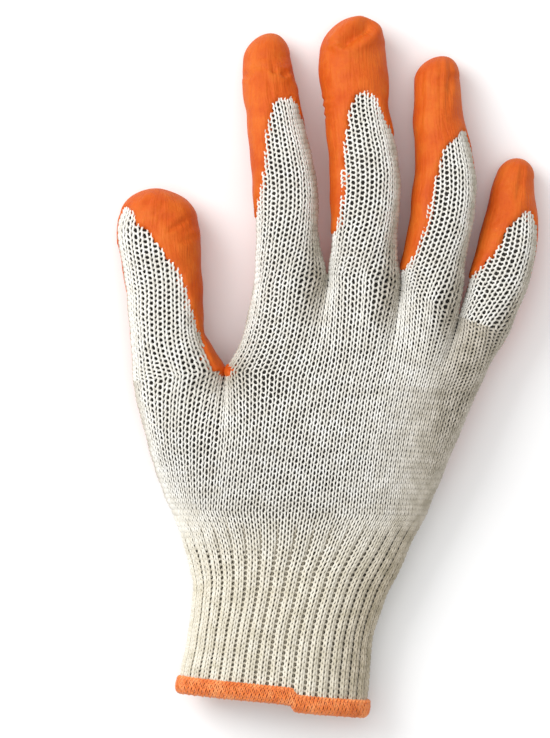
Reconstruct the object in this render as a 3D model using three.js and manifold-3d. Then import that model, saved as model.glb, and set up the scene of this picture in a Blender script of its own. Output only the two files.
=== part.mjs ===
// A coated knit work glove for a right hand, lying palm down on a table.
//
// The glove is a seamless knit liner with a ribbed elastic cuff, an overlocked hem round its mouth, and
// a latex coat dipped over the palm, the fingertips and the sides of the fingers. The back stays bare.
//
// Units are millimetres. +Y points along the fingers, +X to the little finger's side, and +Z is up, out
// of the back of the hand. The tables below are measured from the middle of the wrist line, and the
// last lines move the origin to the middle of the glove's footprint, on the table.
import * as THREE from "three";
import Module from "manifold-3d";

const wasm = await Module();
wasm.setup();

// Driving dimensions
const KNIT_WALL = 1.5;
const COAT_WALL = 0.7;
const PIECE_GAP = 0.3;
const COAT_OUTSIDE = PIECE_GAP + COAT_WALL;
const RIB_HEIGHT = 0.9;
const RIB_FADE_LENGTH = 14;
const HEM_HEIGHT = 5.8;
const HEM_WALL = 3.4;
const HEM_OVERHANG = 1.7;

// How far the tool that bares the back of a finger reaches past its lower end, and upward
const BELOW_ROOT = 20;
const ABOVE_GLOVE = 60;

// How finely each piece is divided
const SIDE_COLUMNS = 6; // on one side of a finger, so a finger's ring has twice as many
const FINGER_ROWS = 7;
const TIP_RINGS = 3;
const TIP_CAP = 0.7; // the last step of the round tip, from its top ring to its pole, in ring steps
const STUB_ROWS = 1; // finger rows that stay with the hand, above the crotches
const KNUCKLE_ROWS = 4;
const PALM_ROWS = 5;
const RIBS = 38;
const COLUMNS_PER_RIB = 3; // two on the crest and one in the groove
const CUFF_ROWS = 7;
const HEM_COLUMNS = 32;
const HEM_PROFILE_POINTS = 6;
const TABLE_STEPS = 40; // between two rows of a table, where distances are measured
const ARC_STEPS = 160; // over one side of a section, where distances are measured
const SHORTEST_ROW = 1; // a row closer than this to the row of tubes above it is left out
const WELD_DIGITS = 4; // decimals that count when corners are merged by their place
const TINY = 1e-9;

// Beyond the outline of any finger, where a row of a bare table runs off its side
const OFF_LEFT = -18;
const OFF_RIGHT = 18;

// One row for each section of a finger, from just above its root to where the round tip begins.
// The bare rows give the two edges of the knit that the coat leaves bare, seen from above, from the
// fingertip down: at this y it reaches from leftX to rightX. coatEdge is the coat's height on the sides.
const FINGER_COLUMNS = ["x", "y", "z", "halfWidth", "halfDepth"];
const BARE_COLUMNS = ["y", "leftX", "rightX"];
const FINGERS = {
  thumb: {
    root: { left: [-54.6, 44.1], right: [-22.1, 48.3], z: 16.5, halfDepth: 14.4 },
    tip: { x: -44.9, y: 111.2, z: 11.4 },
    coatEdge: 13,
    stations: [
      [-42.1, 56.9, 16.0, 13.3, 13.4],
      [-43.2, 67.4, 15.6, 13.0, 12.8],
      [-43.7, 78.0, 15.0, 13.0, 12.4],
      [-44.9, 88.4, 14.0, 13.7, 12.0],
      [-45.7, 96.5, 12.8, 14.0, 11.5],
      [-45.4, 102.0, 11.8, 12.9, 10.9],
    ],
    bare: [
      [104.9, -44.9 + OFF_LEFT, -55.4],
      [99.3, -44.9 + OFF_LEFT, -53.3],
      [96.1, -44.9 + OFF_LEFT, -48.4],
      [89.8, -44.9 + OFF_LEFT, -43.9],
      [81.1, -44.9 + OFF_LEFT, -37.2],
      [66.7, -44.9 + OFF_LEFT, -33.0],
      [51.3, -44.9 + OFF_LEFT, -28.1],
    ],
  },
  index: {
    root: { left: [-12.6, 78.1], right: [13.65, 81.6], z: 19.5, halfDepth: 12.6 },
    tip: { x: -7.5, y: 165.8, z: 8.6 },
    coatEdge: 17,
    stations: [
      [-0.3, 93.1, 20.8, 11.3, 11.6],
      [-0.8, 108.5, 21.2, 11.2, 11.0],
      [-2.5, 122.5, 20.2, 10.6, 10.6],
      [-4.9, 138.3, 16.2, 9.3, 9.8],
      [-6.2, 144.6, 13.9, 9.2, 9.4],
      [-6.9, 152.0, 11.2, 8.6, 8.8],
      [-7.5, 157.5, 9.2, 7.7, 8.0],
    ],
    bare: [
      [143.2, -2.9, 0.9],
      [141.3, -5.7, 3.0],
      [132.5, -7.8, 6.5],
      [117.5, -9.2, 10.0],
      [101.4, -11.7, OFF_RIGHT],
      [90.2, OFF_LEFT, OFF_RIGHT],
    ],
  },
  middle: {
    root: { left: [13.65, 81.6], right: [39.2, 78.1], z: 19.8, halfDepth: 12.6 },
    tip: { x: 23.6, y: 171.4, z: 10.2 },
    coatEdge: 18,
    stations: [
      [26.4, 92.0, 21.6, 11.7, 11.8],
      [27.0, 108.5, 23.0, 12.1, 11.4],
      [26.3, 122.5, 22.2, 11.9, 11.1],
      [24.0, 138.1, 18.2, 10.9, 10.6],
      [23.5, 145.1, 15.6, 11.2, 10.4],
      [23.0, 152.1, 13.2, 11.6, 10.3],
      [22.5, 161.0, 10.9, 11.0, 9.8],
    ],
    bare: [
      [145.2, 25.1, 28.6],
      [143.7, 23.0, 30.3],
      [137.4, 20.5, 33.1],
      [130.4, 19.6, 36.6],
      [121.3, 18.8, 25 + OFF_RIGHT],
      [107.3, 18.1, 25 + OFF_RIGHT],
      [97.2, 16.3, 25 + OFF_RIGHT],
      [84.9, 25 + OFF_LEFT, 25 + OFF_RIGHT],
    ],
  },
  ring: {
    root: { left: [39.2, 78.1], right: [59.5, 66.9], z: 18.6, halfDepth: 12.0 },
    tip: { x: 53.7, y: 158.1, z: 8.2 },
    coatEdge: 16,
    stations: [
      [51.4, 88.4, 20.0, 10.9, 11.2],
      [53.6, 100.7, 20.2, 11.0, 10.8],
      [54.8, 111.2, 19.2, 11.0, 10.4],
      [54.7, 119.9, 17.4, 10.1, 9.9],
      [53.9, 128.7, 15.0, 9.3, 9.4],
      [52.7, 137.0, 12.4, 8.4, 8.8],
      [52.4, 150.6, 8.9, 7.4, 7.7],
    ],
    bare: [
      [131.8, 60.8, 62.2],
      [128.3, 57.6, 63.2],
      [125.5, 54.1, 64.3],
      [115.4, 51.0, 54 + OFF_RIGHT],
      [107.3, 49.6, 54 + OFF_RIGHT],
      [92.3, 45.7, 54 + OFF_RIGHT],
      [81.4, 40.5, 54 + OFF_RIGHT],
    ],
  },
  little: {
    root: { left: [59.5, 66.9], right: [77.0, 60.4], z: 16.4, halfDepth: 11.2 },
    tip: { x: 81.2, y: 122.2, z: 7.4 },
    coatEdge: 14,
    stations: [
      [72.4, 75.0, 17.0, 9.9, 10.6],
      [75.0, 83.5, 16.6, 10.4, 10.0],
      [76.8, 92.4, 15.0, 10.0, 9.4],
      [78.1, 101.5, 12.3, 8.8, 8.5],
      [79.0, 110.3, 9.4, 7.3, 7.5],
      [79.8, 116.0, 7.8, 6.2, 6.6],
    ],
    bare: [
      [103.8, 83.2, 84.9],
      [101.4, 80.7, 85.6],
      [97.2, 76.2, 87.0],
      [90.2, 72.7, 76 + OFF_RIGHT],
      [80.4, 63.6, 76 + OFF_RIGHT],
    ],
  },
};
const FOUR_FINGERS = ["index", "middle", "ring", "little"];

// One row for each section across the hand or the cuff: its ends at the glove's left and right edge,
// how high they lie, and how far the back rises and the palm drops from there.
const SECTION_COLUMNS = ["leftX", "leftY", "rightX", "rightY", "leftZ", "rightZ", "rise", "drop"];
const KNUCKLE_SECTIONS = [
  [-13.6, 73.0, 76.4, 57.0, 19.0, 16.0, 15.5, 16.0],
  [-15.8, 61.3, 71.4, 50.4, 19.5, 16.5, 17.0, 18.0],
  [-22.1, 48.3, 66.2, 40.3, 19.0, 17.0, 18.5, 18.5],
];
const PALM_SECTIONS = [
  [-54.6, 44.1, 66.2, 40.3, 16.5, 17.0, 19.5, 18.0],
  [-51.0, 28.0, 59.6, 24.5, 18.0, 18.0, 19.0, 19.5],
  [-45.4, 8.4, 51.8, 5.3, 16.5, 16.5, 17.0, 16.0],
  [-41.6, -0.7, 48.4, -2.8, 15.5, 15.5, 15.2, 14.0],
];
const CUFF_SECTIONS = [
  [-41.4, -1.0, 48.2, -3.1, 15.5, 15.5, 15.0, 14.0],
  [-36.8, -11.2, 43.2, -12.6, 15.0, 15.0, 13.8, 13.6],
  [-33.6, -21.7, 37.6, -23.1, 14.6, 14.6, 13.0, 13.2],
  [-32.8, -30.8, 33.2, -31.9, 14.2, 14.2, 12.6, 12.8],
  [-34.5, -44.5, 28.9, -46.2, 13.8, 13.8, 12.2, 12.4],
  [-37.3, -58.8, 27.2, -67.0, 13.4, 13.4, 11.8, 12.0],
];
const SECTION_POWER = 2.1; // 2 is an ellipse, and more is squarer
const ROOT_POWER = 1.6; // less is more pointed, so the roots of two fingers meet in an open valley
const BLEND_LENGTH = 24; // over which the finger tubes melt into the hand
const TO_WRIST = new THREE.Vector3(0.05, -1, 0).normalize(); // the way the palm runs below the thumb

const MATERIALS = {
  knit: new THREE.MeshStandardMaterial({ color: 0xe0dace, roughness: 0.95, metalness: 0 }),
  cuff: new THREE.MeshStandardMaterial({ color: 0xddd5c0, roughness: 0.95, metalness: 0 }),
  hem: new THREE.MeshStandardMaterial({ color: 0xf07a30, roughness: 0.85, metalness: 0 }),
  latex: new THREE.MeshStandardMaterial({ color: 0xe0541c, roughness: 0.55, metalness: 0 }),
};

// Reading the tables

function interpolate(a, b, c, d, t) {
  // Catmull-Rom: through b at t = 0 and c at t = 1
  return 0.5 * (2 * b + (c - a) * t + (2 * a - 5 * b + 4 * c - d) * t * t + (3 * b - a - 3 * c + d) * t * t * t);
}

function readTable(rows, columns, t) {
  const last = rows.length - 1;
  const low = Math.min(Math.floor(t), last - 1);
  const at = (i) => rows[THREE.MathUtils.clamp(i, 0, last)];
  const section = {};
  columns.forEach((name, c) => {
    section[name] = interpolate(at(low - 1)[c], at(low)[c], at(low + 1)[c], at(low + 2)[c], t - low);
  });
  return section;
}

// Places along a table that lie at even distances, as fractions of its row number.
function evenPlaces(rows, columns, middleOf, count) {
  const steps = TABLE_STEPS * (rows.length - 1);
  const places = Array.from({ length: steps + 1 }, (_, i) => (i / steps) * (rows.length - 1));
  const middles = places.map((t) => middleOf(readTable(rows, columns, t)));
  const travelled = [0];
  for (let i = 1; i <= steps; i++) travelled.push(travelled[i - 1] + middles[i].distanceTo(middles[i - 1]));
  return Array.from({ length: count + 1 }, (_, j) => {
    const target = (j / count) * travelled[steps];
    const i = Math.max(1, travelled.findIndex((d) => d >= target - TINY));
    const share = (target - travelled[i - 1]) / (travelled[i] - travelled[i - 1]);
    return THREE.MathUtils.lerp(places[i - 1], places[i], share);
  });
}

// The surface: a net of points with four-sided faces, shared by the knit and the coat over it

const net = { points: [], faces: [] };

function addRing(points) {
  const first = net.points.length;
  net.points.push(...points);
  return points.map((_, i) => first + i);
}

// Joins two rings of equal length into a band. upper lies nearer the fingertips.
function addBand(lower, upper, part) {
  const count = lower.length;
  for (let k = 0; k < count; k++) {
    const next = (k + 1) % count;
    net.faces.push({ corners: [lower[k], lower[next], upper[next], upper[k]], part, column: k, around: count });
  }
}

function layFlat(point, lowest) {
  point.z = Math.max(point.z, lowest);
  return point;
}

// A finger's ring goes from its left side over the back to its right side, and back under the palm.
function fingerRing(middle, across, halfWidth, halfDepth, power = 2) {
  const bulge = (v) => Math.sign(v) * Math.abs(v) ** (2 / power);
  return Array.from({ length: 2 * SIDE_COLUMNS }, (_, k) => {
    const angle = Math.PI - (Math.PI * k) / SIDE_COLUMNS;
    const point = middle.clone().addScaledVector(across, halfWidth * bulge(Math.cos(angle)));
    point.z += halfDepth * bulge(Math.sin(angle));
    return layFlat(point, COAT_OUTSIDE);
  });
}

function acrossOf(direction) {
  return new THREE.Vector3(direction.y, -direction.x, 0).normalize();
}

// Every section of one finger from its root to the start of the round tip, with its middle and direction.
function fingerSections(finger) {
  const left = new THREE.Vector3(...finger.root.left, finger.root.z);
  const right = new THREE.Vector3(...finger.root.right, finger.root.z);
  const root = left.clone().add(right).multiplyScalar(0.5);
  const rootRow = [root.x, root.y, root.z, left.distanceTo(right) / 2, finger.root.halfDepth];
  const rows = [rootRow, ...finger.stations];
  const middleOf = (s) => new THREE.Vector3(s.x, s.y, s.z);
  const sections = evenPlaces(rows, FINGER_COLUMNS, middleOf, FINGER_ROWS).map((t) => {
    const section = readTable(rows, FINGER_COLUMNS, t);
    return { ...section, middle: middleOf(section) };
  });
  sections.forEach((section, j) => {
    const before = sections[Math.max(j - 1, 0)].middle;
    const after = sections[Math.min(j + 1, FINGER_ROWS)].middle;
    section.across = acrossOf(after.clone().sub(before));
  });
  sections[0].across = right.clone().sub(left).normalize();
  return sections;
}

function addFinger(name) {
  const finger = FINGERS[name];
  const stub = name === "thumb" ? "hand" : "knuckles";
  const sections = fingerSections(finger);
  const rings = sections.map((s, j) => {
    const power = j === 0 ? ROOT_POWER : 2;
    return addRing(fingerRing(s.middle, s.across, s.halfWidth, s.halfDepth, power));
  });
  const last = sections[FINGER_ROWS];
  const tip = new THREE.Vector3(finger.tip.x, finger.tip.y, finger.tip.z);
  for (let i = 1; i <= TIP_RINGS; i++) {
    const angle = (Math.PI / 2) * (i / (TIP_RINGS + TIP_CAP));
    const middle = last.middle.clone().lerp(tip, Math.sin(angle));
    const shrink = Math.cos(angle);
    rings.push(addRing(fingerRing(middle, last.across, last.halfWidth * shrink, last.halfDepth * shrink)));
  }
  for (let j = STUB_ROWS; j < rings.length; j++) addBand(rings[j - 1], rings[j], j <= STUB_ROWS ? stub : name);
  const pole = addRing([tip])[0];
  const top = rings[rings.length - 1];
  top.forEach((corner, k) => {
    net.faces.push({ corners: [corner, top[(k + 1) % top.length], pole], part: name });
  });
  return { name, finger, sections, rings };
}

// Points at even distances along one side of a section, from its left end to its right end.
function evenArc(section, height, count) {
  const left = new THREE.Vector3(section.leftX, section.leftY, section.leftZ);
  const right = new THREE.Vector3(section.rightX, section.rightY, section.rightZ);
  const arc = Array.from({ length: ARC_STEPS + 1 }, (_, i) => {
    const angle = (Math.PI * i) / ARC_STEPS;
    const along = -Math.sign(Math.cos(angle)) * Math.abs(Math.cos(angle)) ** (2 / SECTION_POWER);
    const point = left.clone().lerp(right, (1 + along) / 2);
    point.z += height * Math.sin(angle) ** (2 / SECTION_POWER);
    return point;
  });
  const travelled = [0];
  for (let i = 1; i <= ARC_STEPS; i++) travelled.push(travelled[i - 1] + arc[i].distanceTo(arc[i - 1]));
  return Array.from({ length: count + 1 }, (_, k) => {
    const target = (k / count) * travelled[ARC_STEPS];
    const i = Math.max(1, travelled.findIndex((d) => d >= target - TINY));
    return arc[i - 1].clone().lerp(arc[i], (target - travelled[i - 1]) / (travelled[i] - travelled[i - 1]));
  });
}

// A whole ring across the hand: over the back from left to right, and back under the palm.
function sectionRing(section, count) {
  const back = evenArc(section, section.rise, count);
  const palm = evenArc(section, -section.drop, count).reverse();
  return [...back, ...palm.slice(1, -1)];
}

// The ring below a row of tubes: each tube runs on for a way and melts into the section of the hand.
function meltedRing(start, headings, section, count, travelled) {
  const share = THREE.MathUtils.clamp(travelled / BLEND_LENGTH, 0, 1);
  const weight = 1 - (1 - share) ** 2;
  return sectionRing(section, count).map((point, k) => {
    const ranOn = start[k].clone().addScaledVector(headings[k], travelled);
    return layFlat(ranOn.lerp(point, weight), COAT_OUTSIDE);
  });
}

// Lays several tubes side by side. Neighbours share the point of the crotch between them.
function ringRound(tubes) {
  const backs = tubes.map((ring) => ring.slice(0, ring.length / 2 + 1));
  const palms = tubes.map((ring) => [...ring.slice(ring.length / 2), ring[0]]).reverse();
  const joinUp = (parts) => parts.reduce((whole, part) => [...whole, ...part.slice(1)]);
  return [...joinUp(backs), ...joinUp(palms).slice(1, -1)];
}

function shareCrotch(left, right) {
  const kept = left.rings[0][SIDE_COLUMNS];
  const dropped = right.rings[0][0];
  net.faces.forEach((face) => {
    face.corners = face.corners.map((corner) => (corner === dropped ? kept : corner));
  });
  right.rings[0][0] = kept;
}

const middleOfSection = (s) => new THREE.Vector3((s.leftX + s.rightX) / 2, (s.leftY + s.rightY) / 2, 0);

// Adds the rows of one table below a row of tubes, and returns the last of them.
function addHand(topRing, headings, table, rowCount, part) {
  const sides = topRing.length / 2;
  const start = topRing.map((id) => net.points[id].clone());
  const startMiddle = start[0].clone().add(start[sides]).multiplyScalar(0.5).setZ(0);
  let above = topRing;
  evenPlaces(table, SECTION_COLUMNS, middleOfSection, rowCount).forEach((t) => {
    const section = readTable(table, SECTION_COLUMNS, t);
    const travelled = middleOfSection(section).distanceTo(startMiddle);
    if (travelled < SHORTEST_ROW) return;
    const ring = addRing(meltedRing(start, headings, section, sides, travelled));
    addBand(ring, above, part);
    above = ring;
  });
  return above;
}

const straightDown = (section) => new THREE.Vector3(section.across.y, -section.across.x, 0);

const made = Object.fromEntries(Object.keys(FINGERS).map((name) => [name, addFinger(name)]));
const fourFingers = FOUR_FINGERS.map((name) => made[name]);
for (let i = 1; i < fourFingers.length; i++) shareCrotch(fourFingers[i - 1], fourFingers[i]);

// The heading of each point of a row of tubes, down along its own tube.
function headingsOf(tubes) {
  const each = tubes.map((tube) => tube.rings[0].map(() => straightDown(tube.sections[0])));
  return ringRound(each);
}

const knuckleRing = ringRound(fourFingers.map((f) => f.rings[0]));
const fourHeadings = headingsOf(fourFingers);
const belowKnuckles = addHand(knuckleRing, fourHeadings, KNUCKLE_SECTIONS, KNUCKLE_ROWS, "knuckles");

// At the thumb's crotch the thumb's tube joins the left side of the hand.
const thumbCrotch = made.thumb.rings[0][SIDE_COLUMNS];
net.points[belowKnuckles[0]].copy(net.points[thumbCrotch]);
net.faces.forEach((face) => {
  face.corners = face.corners.map((corner) => (corner === thumbCrotch ? belowKnuckles[0] : corner));
});
made.thumb.rings[0][SIDE_COLUMNS] = belowKnuckles[0];
const wideRing = ringRound([made.thumb.rings[0], belowKnuckles]);
const wideHeadings = wideRing.map(() => TO_WRIST);
const wristRing = addHand(wideRing, wideHeadings, PALM_SECTIONS, PALM_ROWS, "hand");

// Outward directions of the net's points, from the faces round each

function outwardDirections() {
  const directions = net.points.map(() => new THREE.Vector3());
  const [ab, ac, normal] = [new THREE.Vector3(), new THREE.Vector3(), new THREE.Vector3()];
  for (const { corners } of net.faces) {
    for (let i = 0; i < corners.length; i++) {
      const here = net.points[corners[i]];
      ab.subVectors(net.points[corners[(i + 1) % corners.length]], here);
      ac.subVectors(net.points[corners[(i + corners.length - 1) % corners.length]], here);
      normal.crossVectors(ab, ac);
      if (normal.length() > TINY) directions[corners[i]].add(normal.normalize().multiplyScalar(ab.angleTo(ac)));
    }
  }
  return directions.map((d) => d.normalize());
}

const outward = outwardDirections();

function geometryOf(points, triangles) {
  const geometry = new THREE.BufferGeometry();
  geometry.setAttribute("position", new THREE.Float32BufferAttribute(points.flatMap((p) => p.toArray()), 3));
  geometry.setIndex(triangles.flat());
  geometry.computeVertexNormals();
  return geometry;
}

// A wall that follows some faces of the net, from inner to outer along the outward directions. Rings
// named in shifts move along the surface, which leaves the gap to the next piece.
function wallOf(faces, inner, outer, shifts = []) {
  const used = [...new Set(faces.flatMap((face) => face.corners))];
  const slot = new Map(used.map((id, i) => [id, i]));
  const shiftOf = new Map(shifts.flatMap(({ ring, by }) => ring.map((id) => [id, by])));
  const place = (id, distance) => {
    const point = net.points[id].clone().addScaledVector(outward[id], distance);
    return shiftOf.has(id) ? point.add(shiftOf.get(id)) : point;
  };
  const points = [...used.map((id) => place(id, outer)), ...used.map((id) => place(id, inner))];
  const triangles = [];
  const edges = new Map();
  for (const { corners } of faces) {
    const own = corners.map((id) => slot.get(id));
    for (let i = 1; i < own.length - 1; i++) {
      triangles.push([own[0], own[i], own[i + 1]]);
      triangles.push([own[0], own[i + 1], own[i]].map((v) => v + used.length));
    }
    own.forEach((a, i) => {
      const b = own[(i + 1) % own.length];
      if (edges.has(`${b},${a}`)) edges.delete(`${b},${a}`);
      else edges.set(`${a},${b}`, [a, b]);
    });
  }
  // Both walls that meet at an open edge split its strip along the same diagonal.
  for (const [a, b] of edges.values()) {
    const [innerA, innerB] = [a + used.length, b + used.length];
    if (used[a] < used[b]) triangles.push([b, a, innerA], [b, innerA, innerB]);
    else triangles.push([b, a, innerB], [a, innerA, innerB]);
  }
  return geometryOf(points, triangles);
}

// Cutting with manifold-3d

function solidOf(geometry) {
  return new wasm.Manifold(
    new wasm.Mesh({
      numProp: 3,
      vertProperties: Float32Array.from(geometry.getAttribute("position").array),
      triVerts: Uint32Array.from(geometry.getIndex().array),
    }),
  );
}

function geometryFrom(solid) {
  const mesh = solid.getMesh();
  const geometry = new THREE.BufferGeometry();
  geometry.setAttribute("position", new THREE.Float32BufferAttribute(mesh.vertProperties, 3));
  geometry.setIndex(Array.from(mesh.triVerts));
  geometry.computeVertexNormals();
  return geometry;
}

// An upright prism over the bare knit of one finger, from the level where the coat ends on its sides.
function barePrism({ bare, coatEdge }) {
  const rows = bare.map((row) => Object.fromEntries(BARE_COLUMNS.map((name, c) => [name, row[c]])));
  const last = rows[rows.length - 1];
  rows.push({ ...last, y: last.y - BELOW_ROOT });
  const left = rows.map((row) => new THREE.Vector2(row.leftX, row.y));
  const right = rows.map((row) => new THREE.Vector2(row.rightX, row.y)).reverse();
  const shape = new THREE.Shape([...left, ...right]);
  const prism = new THREE.ExtrudeGeometry(shape, { depth: ABOVE_GLOVE, bevelEnabled: false });
  prism.deleteAttribute("normal");
  prism.deleteAttribute("uv");
  prism.translate(0, 0, coatEdge);
  return prism;
}

function mergedByPlace(geometry) {
  const position = geometry.getAttribute("position");
  const seen = new Map();
  const points = [];
  const ids = Array.from({ length: position.count }, (_, i) => {
    const point = new THREE.Vector3().fromBufferAttribute(position, i);
    const key = point.toArray().map((v) => v.toFixed(WELD_DIGITS)).join();
    if (!seen.has(key)) seen.set(key, points.push(point) - 1);
    return seen.get(key);
  });
  const corners = geometry.getIndex() ? Array.from(geometry.getIndex().array) : ids.map((_, i) => i);
  const triangles = [];
  for (let i = 0; i < corners.length; i += 3) triangles.push(corners.slice(i, i + 3).map((c) => ids[c]));
  return geometryOf(points, triangles);
}

// The pieces

function pieceOf(name, geometry, material) {
  const mesh = new THREE.Mesh(geometry, material);
  mesh.name = name;
  return mesh;
}

const halfGap = PIECE_GAP / 2;

// The ring where a finger's own tube starts, moved up for the finger and down for the hand's stub.
const startOf = ({ rings, sections }, direction) => ({
  ring: rings[STUB_ROWS],
  by: straightDown(sections[STUB_ROWS]).multiplyScalar(-direction * halfGap),
});

function knitFinger(tube) {
  const faces = net.faces.filter((face) => face.part === tube.name);
  return pieceOf(`knit_${tube.name}`, wallOf(faces, -KNIT_WALL, 0, [startOf(tube, 1)]), MATERIALS.knit);
}

function coatFinger(tube) {
  const faces = net.faces.filter((face) => face.part === tube.name);
  const skin = solidOf(wallOf(faces, PIECE_GAP, COAT_OUTSIDE, [startOf(tube, 1)]));
  const bare = solidOf(mergedByPlace(barePrism(tube.finger)));
  return pieceOf(`latex_${tube.name}`, geometryFrom(skin.subtract(bare)), MATERIALS.latex);
}

const tubes = Object.values(made);
const stubShifts = tubes.map((tube) => startOf(tube, -1));
const upBy = (distance) => new THREE.Vector3(0, distance, 0);

// The lower hand ends at the thumb's crotch, and the knuckles reach from there to the finger stubs.
function knitHand() {
  const faces = net.faces.filter((face) => face.part === "hand");
  const ends = [
    { ring: wristRing, by: upBy(halfGap) },
    { ring: belowKnuckles, by: upBy(-halfGap) },
  ];
  return pieceOf("knit_hand", wallOf(faces, -KNIT_WALL, 0, [...stubShifts, ...ends]), MATERIALS.knit);
}

function knitKnuckles() {
  const faces = net.faces.filter((face) => face.part === "knuckles");
  const ends = [{ ring: belowKnuckles, by: upBy(halfGap) }];
  return pieceOf("knit_knuckles", wallOf(faces, -KNIT_WALL, 0, [...stubShifts, ...ends]), MATERIALS.knit);
}

// The coat under the palm stops short of the hand's edges and crotches, and one row short of the wrist.
function coatPalm() {
  const crotches = tubes.flatMap(({ rings }) => [rings[0][0], rings[0][SIDE_COLUMNS]]);
  const palm = net.faces.filter(({ corners, part, column, around }) => {
    const ofHand = part === "hand" || part === "knuckles";
    const underside = column > around / 2 && column < around - 1;
    const stopsShort = corners.some((id) => wristRing.includes(id) || crotches.includes(id));
    return ofHand && underside && !stopsShort;
  });
  return pieceOf("latex_palm", wallOf(palm, PIECE_GAP, COAT_OUTSIDE, stubShifts), MATERIALS.latex);
}

const cuffRing = (t) => sectionRing(readTable(CUFF_SECTIONS, SECTION_COLUMNS, t), (RIBS * COLUMNS_PER_RIB) / 2);

// Outward directions within one ring, level with it.
function ringDirections(ring) {
  return ring.map((_, k) => {
    const before = ring[(k + ring.length - 1) % ring.length];
    const after = ring[(k + 1) % ring.length];
    return new THREE.Vector3(before.z - after.z, 0, after.x - before.x).normalize();
  });
}

function closedTube(rings) {
  const count = rings[0].length;
  const triangles = [];
  rings.forEach((_, j) => {
    const [here, there] = [j * count, ((j + 1) % rings.length) * count];
    for (let k = 0; k < count; k++) {
      const next = (k + 1) % count;
      triangles.push([here + k, here + next, there + next], [here + k, there + next, there + k]);
    }
  });
  return geometryOf(rings.flat(), triangles);
}

function ribbedCuff() {
  const places = evenPlaces(CUFF_SECTIONS, SECTION_COLUMNS, middleOfSection, CUFF_ROWS - 1);
  const ringAt = (t, ribbed) => {
    const ring = cuffRing(t);
    const down = -middleOfSection(readTable(CUFF_SECTIONS, SECTION_COLUMNS, t)).y;
    const fade = THREE.MathUtils.smoothstep(down, 0, RIB_FADE_LENGTH);
    return ringDirections(ring).map((direction, k) => {
      const crest = k % COLUMNS_PER_RIB < 2 ? RIB_HEIGHT * fade : 0;
      return ring[k].clone().addScaledVector(direction, ribbed ? crest : -KNIT_WALL);
    });
  };
  const outside = places.map((t) => ringAt(t, true)).reverse();
  const inside = places.filter((_, j) => j % 2 === 0).map((t) => ringAt(t, false));
  return pieceOf("rib_cuff", closedTube([...outside, ...inside]), MATERIALS.cuff);
}

// The hem is a rolled band of overlock thread round the mouth, just past the cuff's end.
function overlockHem() {
  const section = readTable(CUFF_SECTIONS, SECTION_COLUMNS, CUFF_SECTIONS.length - 1);
  const ring = sectionRing(section, HEM_COLUMNS / 2);
  const directions = ringDirections(ring);
  const edge = new THREE.Vector3(section.rightX - section.leftX, section.rightY - section.leftY, 0).normalize();
  const down = new THREE.Vector3(edge.y, -edge.x, 0);
  const rings = Array.from({ length: HEM_PROFILE_POINTS }, (_, i) => {
    const angle = (2 * Math.PI * (i + 0.5)) / HEM_PROFILE_POINTS;
    const out = HEM_OVERHANG - HEM_WALL / 2 + (HEM_WALL / 2) * Math.cos(angle);
    const along = PIECE_GAP + HEM_HEIGHT / 2 - (HEM_HEIGHT / 2) * Math.sin(angle);
    return ring.map((point, k) => {
      const placed = point.clone().addScaledVector(directions[k], out).addScaledVector(down, along);
      return layFlat(placed, 0);
    });
  });
  return pieceOf("hem_overlock", closedTube(rings), MATERIALS.hem);
}

const glove = new THREE.Group();
glove.add(knitHand(), knitKnuckles(), ...tubes.map(knitFinger));
glove.add(ribbedCuff(), overlockHem(), coatPalm(), ...tubes.map(coatFinger));

// The origin goes to the middle of the footprint, on the table.
const box = new THREE.Box3().setFromObject(glove, true);
const middle = box.getCenter(new THREE.Vector3());
glove.position.set(-middle.x, -middle.y, -box.min.z);

export default glove;
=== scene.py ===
# %% [markdown]
# # A coated knit work glove
# This lesson dresses a plain model of a work glove in its real surfaces: open knit made of
# thousands of yarn loops, a dipped orange coat, a ribbed cuff and an overlocked hem. The plain
# model comes in first and stays as it is. Every new piece is made in the same place, in metres, and
# rides on the model's one body.

# %% Load the plain model
import math
import bpy
import numpy as np
from mathutils.kdtree import KDTree
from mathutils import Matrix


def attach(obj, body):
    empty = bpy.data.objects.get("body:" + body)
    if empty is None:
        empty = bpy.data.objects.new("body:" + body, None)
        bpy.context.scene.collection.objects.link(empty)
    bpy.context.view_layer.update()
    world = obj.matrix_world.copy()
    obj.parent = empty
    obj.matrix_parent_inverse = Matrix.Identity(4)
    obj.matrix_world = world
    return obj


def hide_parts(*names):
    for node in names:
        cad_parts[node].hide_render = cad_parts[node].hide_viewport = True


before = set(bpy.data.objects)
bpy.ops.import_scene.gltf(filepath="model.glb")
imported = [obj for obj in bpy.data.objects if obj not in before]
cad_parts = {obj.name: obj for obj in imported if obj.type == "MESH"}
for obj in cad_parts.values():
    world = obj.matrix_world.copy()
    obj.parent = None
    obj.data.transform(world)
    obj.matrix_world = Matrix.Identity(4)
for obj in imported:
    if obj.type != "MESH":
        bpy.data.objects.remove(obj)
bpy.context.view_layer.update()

# %% [markdown]
# ## The camera
# The glove was photographed from straight above, from far away. So the camera looks straight down
# from two and a half metres with a long lens, and the top of the picture is the way the fingers
# point. The lens follows from the height of the picture on the plane through the middle of the
# glove.

# %% Place the camera
SCENE = bpy.context.scene
VIEW_CENTRE = (-0.01839, -0.00112)
VIEW_HEIGHT = 0.2583
VIEW_PLANE = 0.018
CAMERA_DISTANCE = 2.5
SENSOR = 24.0

bpy.ops.object.select_all(action="DESELECT")
bpy.ops.object.camera_add(location=(*VIEW_CENTRE, VIEW_PLANE + CAMERA_DISTANCE), rotation=(0, 0, 0))
camera = bpy.context.object
camera.name = "camera_above"
camera.data.sensor_fit = "VERTICAL"
camera.data.sensor_height = SENSOR
camera.data.lens = SENSOR * CAMERA_DISTANCE / VIEW_HEIGHT
camera.data.clip_end = 20
SCENE.camera = camera
print("lens", round(camera.data.lens, 1), "mm")

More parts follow.
